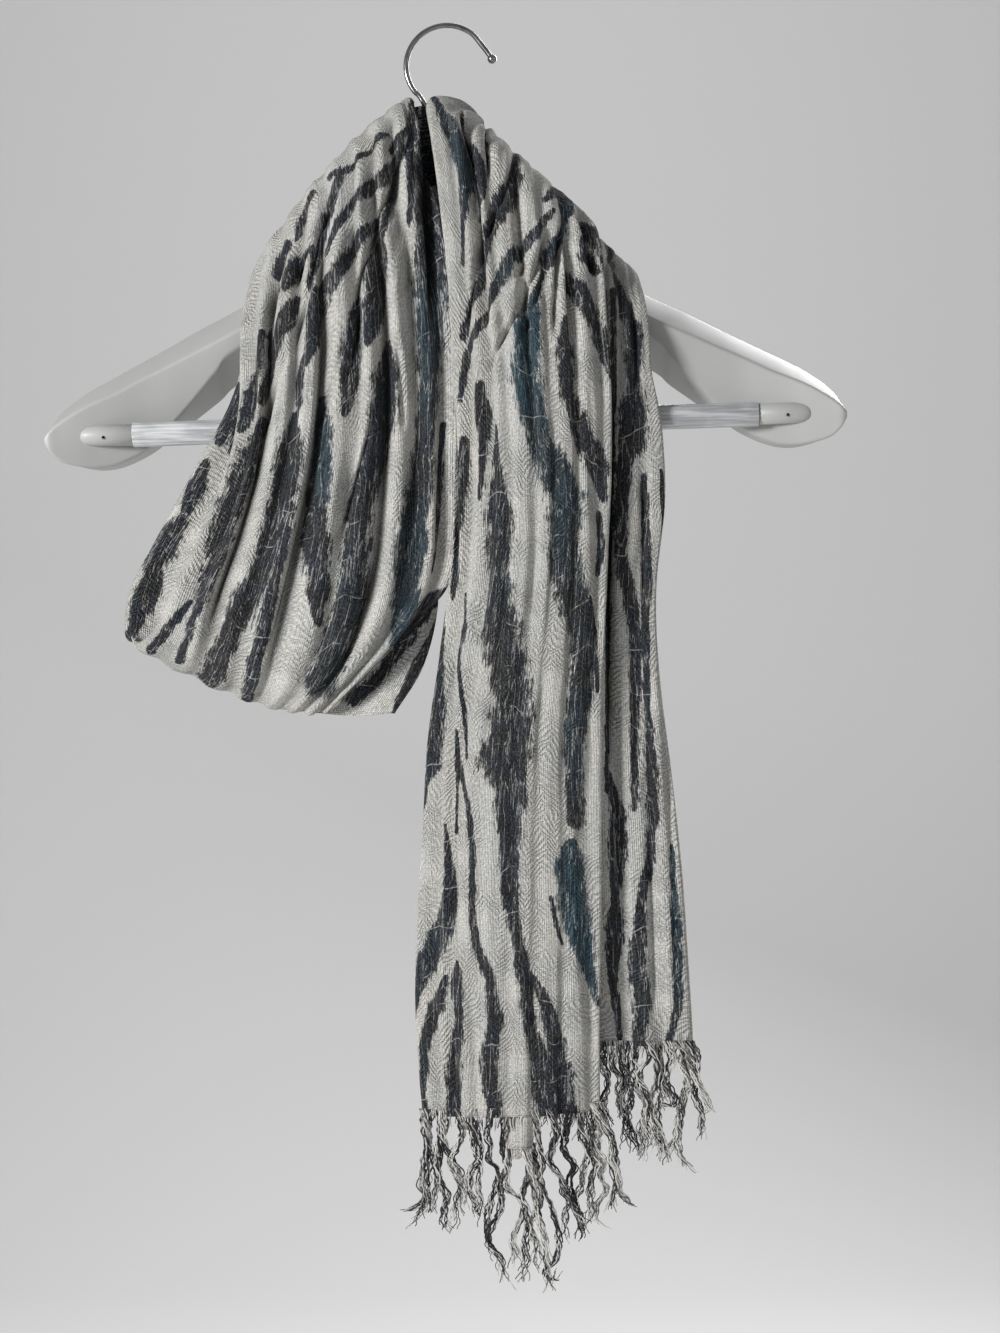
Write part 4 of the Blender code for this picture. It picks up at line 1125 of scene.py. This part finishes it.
def white_moulding():
    """White moulded plastic: faint grain, a cloudy tone and fine grey scuffs."""
    plastic = Finish("white_moulding")
    place = plastic.place()
    cloud = plastic.noise(place, 14.0, 3.0)
    scratches = plastic.noise(place, (90.0, 400.0, 500.0), 3.0, 0.7)
    scuff = plastic.step(scratches, 0.62, 0.8)
    colour = plastic.blend(plastic.step(cloud, 0.35, 0.7), (0.37, 0.37, 0.358, 1), (0.41, 0.41, 0.40, 1))
    colour = plastic.blend(scuff * 0.35, colour, (0.285, 0.285, 0.27, 1))
    grain = plastic.noise(place, 900.0, 2.0)
    return plastic.give(Base_Color=colour, Roughness=0.36 + cloud * 0.16 + scuff * 0.15,
                        Normal=plastic.bump(grain, 0.00008, 0.35), Specular_IOR_Level=0.5)


def cloudy_sleeve():
    """Soft clear plastic over the bar: streaks of cloud and shine along it."""
    sleeve = Finish("cloudy_sleeve")
    place = sleeve.place()
    streak = sleeve.noise(place, (28.0, 420.0, 420.0), 3.0, 0.6)
    cloud = sleeve.noise(place, (60.0, 60.0, 60.0), 2.0)
    share = sleeve.step(streak + (cloud - 0.5) * 0.4, 0.36, 0.68)
    colour = sleeve.blend(share, (0.30, 0.31, 0.32, 1), (0.52, 0.525, 0.53, 1))
    return sleeve.give(Base_Color=colour, Roughness=0.18 + streak * 0.25,
                       Normal=sleeve.bump(streak, 0.0003, 0.5), Coat_Weight=0.4, Coat_Roughness=0.12)


def bright_wire():
    """Chromed wire, dulled here and there."""
    wire = Finish("bright_wire")
    place = wire.place()
    haze = wire.noise(place, 160.0, 3.0)
    colour = wire.blend(wire.step(haze, 0.4, 0.7), (0.30, 0.30, 0.31, 1), (0.17, 0.17, 0.18, 1))
    return wire.give(Base_Color=colour, Metallic=1.0, Roughness=0.14 + haze * 0.16)


def pale_stage():
    """Matt pale paper for the floor and the backdrop."""
    paper = Finish("pale_stage")
    return paper.give(Base_Color=(0.80, 0.80, 0.79, 1), Roughness=0.95, Specular_IOR_Level=0.1)


def stage_sweep(finish):
    """Floor that turns up into a backdrop: a level run, a quarter circle and an upright run."""
    turn = np.linspace(0, np.pi / 2, SWEEP_RINGS)
    y = np.concatenate(([FLOOR_FRONT], BACKDROP_Y - SWEEP_RADIUS + SWEEP_RADIUS * np.sin(turn), [BACKDROP_Y]))
    z = np.concatenate(([FLOOR_Z], FLOOR_Z + SWEEP_RADIUS - SWEEP_RADIUS * np.cos(turn), [BACKDROP_TOP]))
    x = np.linspace(-SWEEP_HALF, SWEEP_HALF, SWEEP_COLUMNS)
    points = joined(x, y[:, None], z[:, None])
    faces = grid_quads(len(y), len(x))[:, ::-1]
    smooth_mesh("pale_sweep", points.reshape(-1, 3), faces, finish)


def soft_light(name, place, target, size, power):
    """A square soft light at a place, turned to a target."""
    lamp = bpy.data.lights.new(name, "AREA")
    lamp.size = size
    lamp.energy = power
    light = scene_object(name, lamp)
    aim = np.array(target) - np.array(place)
    light.location = place
    pitch = math.atan2(math.hypot(aim[0], aim[1]), -aim[2])
    light.rotation_euler = (pitch, 0.0, math.atan2(-aim[0], aim[1]))


def studio():
    """Camera, lights and surroundings."""
    lens = bpy.data.cameras.new("camera")
    lens.sensor_width = SENSOR
    lens.lens = SENSOR / 2 / (PICTURE_HEIGHT / 2 / CAMERA_DISTANCE)
    camera = scene_object("camera", lens)
    camera.location = (CAMERA_X * MM, -CAMERA_DISTANCE * MM, CAMERA_Z * MM)
    camera.rotation_euler = (math.pi / 2, 0.0, 0.0)
    bpy.context.scene.camera = camera
    for lamp in LIGHTS:
        soft_light(*lamp)
    world = bpy.data.worlds.new("pale_room")
    world.use_nodes = True
    room = world.node_tree.nodes["Background"].inputs
    room["Color"].default_value = ROOM_COLOUR
    room["Strength"].default_value = ROOM_STRENGTH
    bpy.context.scene.world = world
    bpy.context.scene.view_settings.view_transform = "Standard"


gauze = printed_gauze()
cotton = fringe_cotton()
moulding = white_moulding()
wire = bright_wire()

# Stretches of the scarf: streaks, then rows, the side of their outer points, valleys, creases,
# points across and down, how far the edges turn back (mm), share of the crinkles and noise seed
SHEETS = {
    "crossing": (LOOP_STREAKS, CROSSING_ROWS, "right", BACK_VALLEYS, (), 70, 40, 0.0, 0.5, 11),
    "loop_front": (LOOP_STREAKS, LOOP_FRONT_ROWS, "left", LOOP_VALLEYS, LOOP_CREASES,
                   200, 224, 4.0, 1.0, 21),
    "loop_back": (LOOP_BACK_STREAKS, LOOP_BACK_ROWS, "left", BACK_VALLEYS, (), 130, 190, 2.5, 1.0, 31),
    "tail_front": (TAIL_STREAKS, TAIL_FRONT_ROWS, "right", TAIL_VALLEYS, TAIL_CREASES,
                   140, 330, 4.0, 1.0, 41),
    "tail_back": (BACK_TAIL_STREAKS, TAIL_BACK_ROWS, "right", BACK_VALLEYS, BACK_TAIL_CREASES,
                  110, 280, 2.5, 1.0, 51),
}
hems = {}
for stretch, (streaks, *settings) in SHEETS.items():
    sheet = cloth_sheet(*settings)
    cloth_piece("scarf_" + stretch, stretch, sheet, streaks, gauze)
    hems[stretch] = sheet[0][-1]

front_fringe = fringe_piece("front_fringe", "fringe_front", hems["tail_front"], FRONT_LOCKS, cotton, 5)
back_fringe = fringe_piece("back_fringe", "fringe_back", hems["tail_back"], BACK_LOCKS, cotton, 6)
hem_tab = tab_piece(hems["tail_front"], gauze)

arms_piece(moulding)
turned_piece("bar_sleeve_ribbed", "bar_sleeve", SLEEVE_PROFILE, SLEEVE_RIBS, cloudy_sleeve())
for side, node in ((-1, "bar_cap_left"), (1, "bar_cap_right")):
    profile = sorted((side * reach, radius) for reach, radius in CAP_PROFILE)
    turned_piece(node + "_round", node, profile, 0, moulding)
    pin_piece(node + "_pin", side * PIN_REACH, wire)
hook_piece(wire)

stage_sweep(pale_stage())
studio()
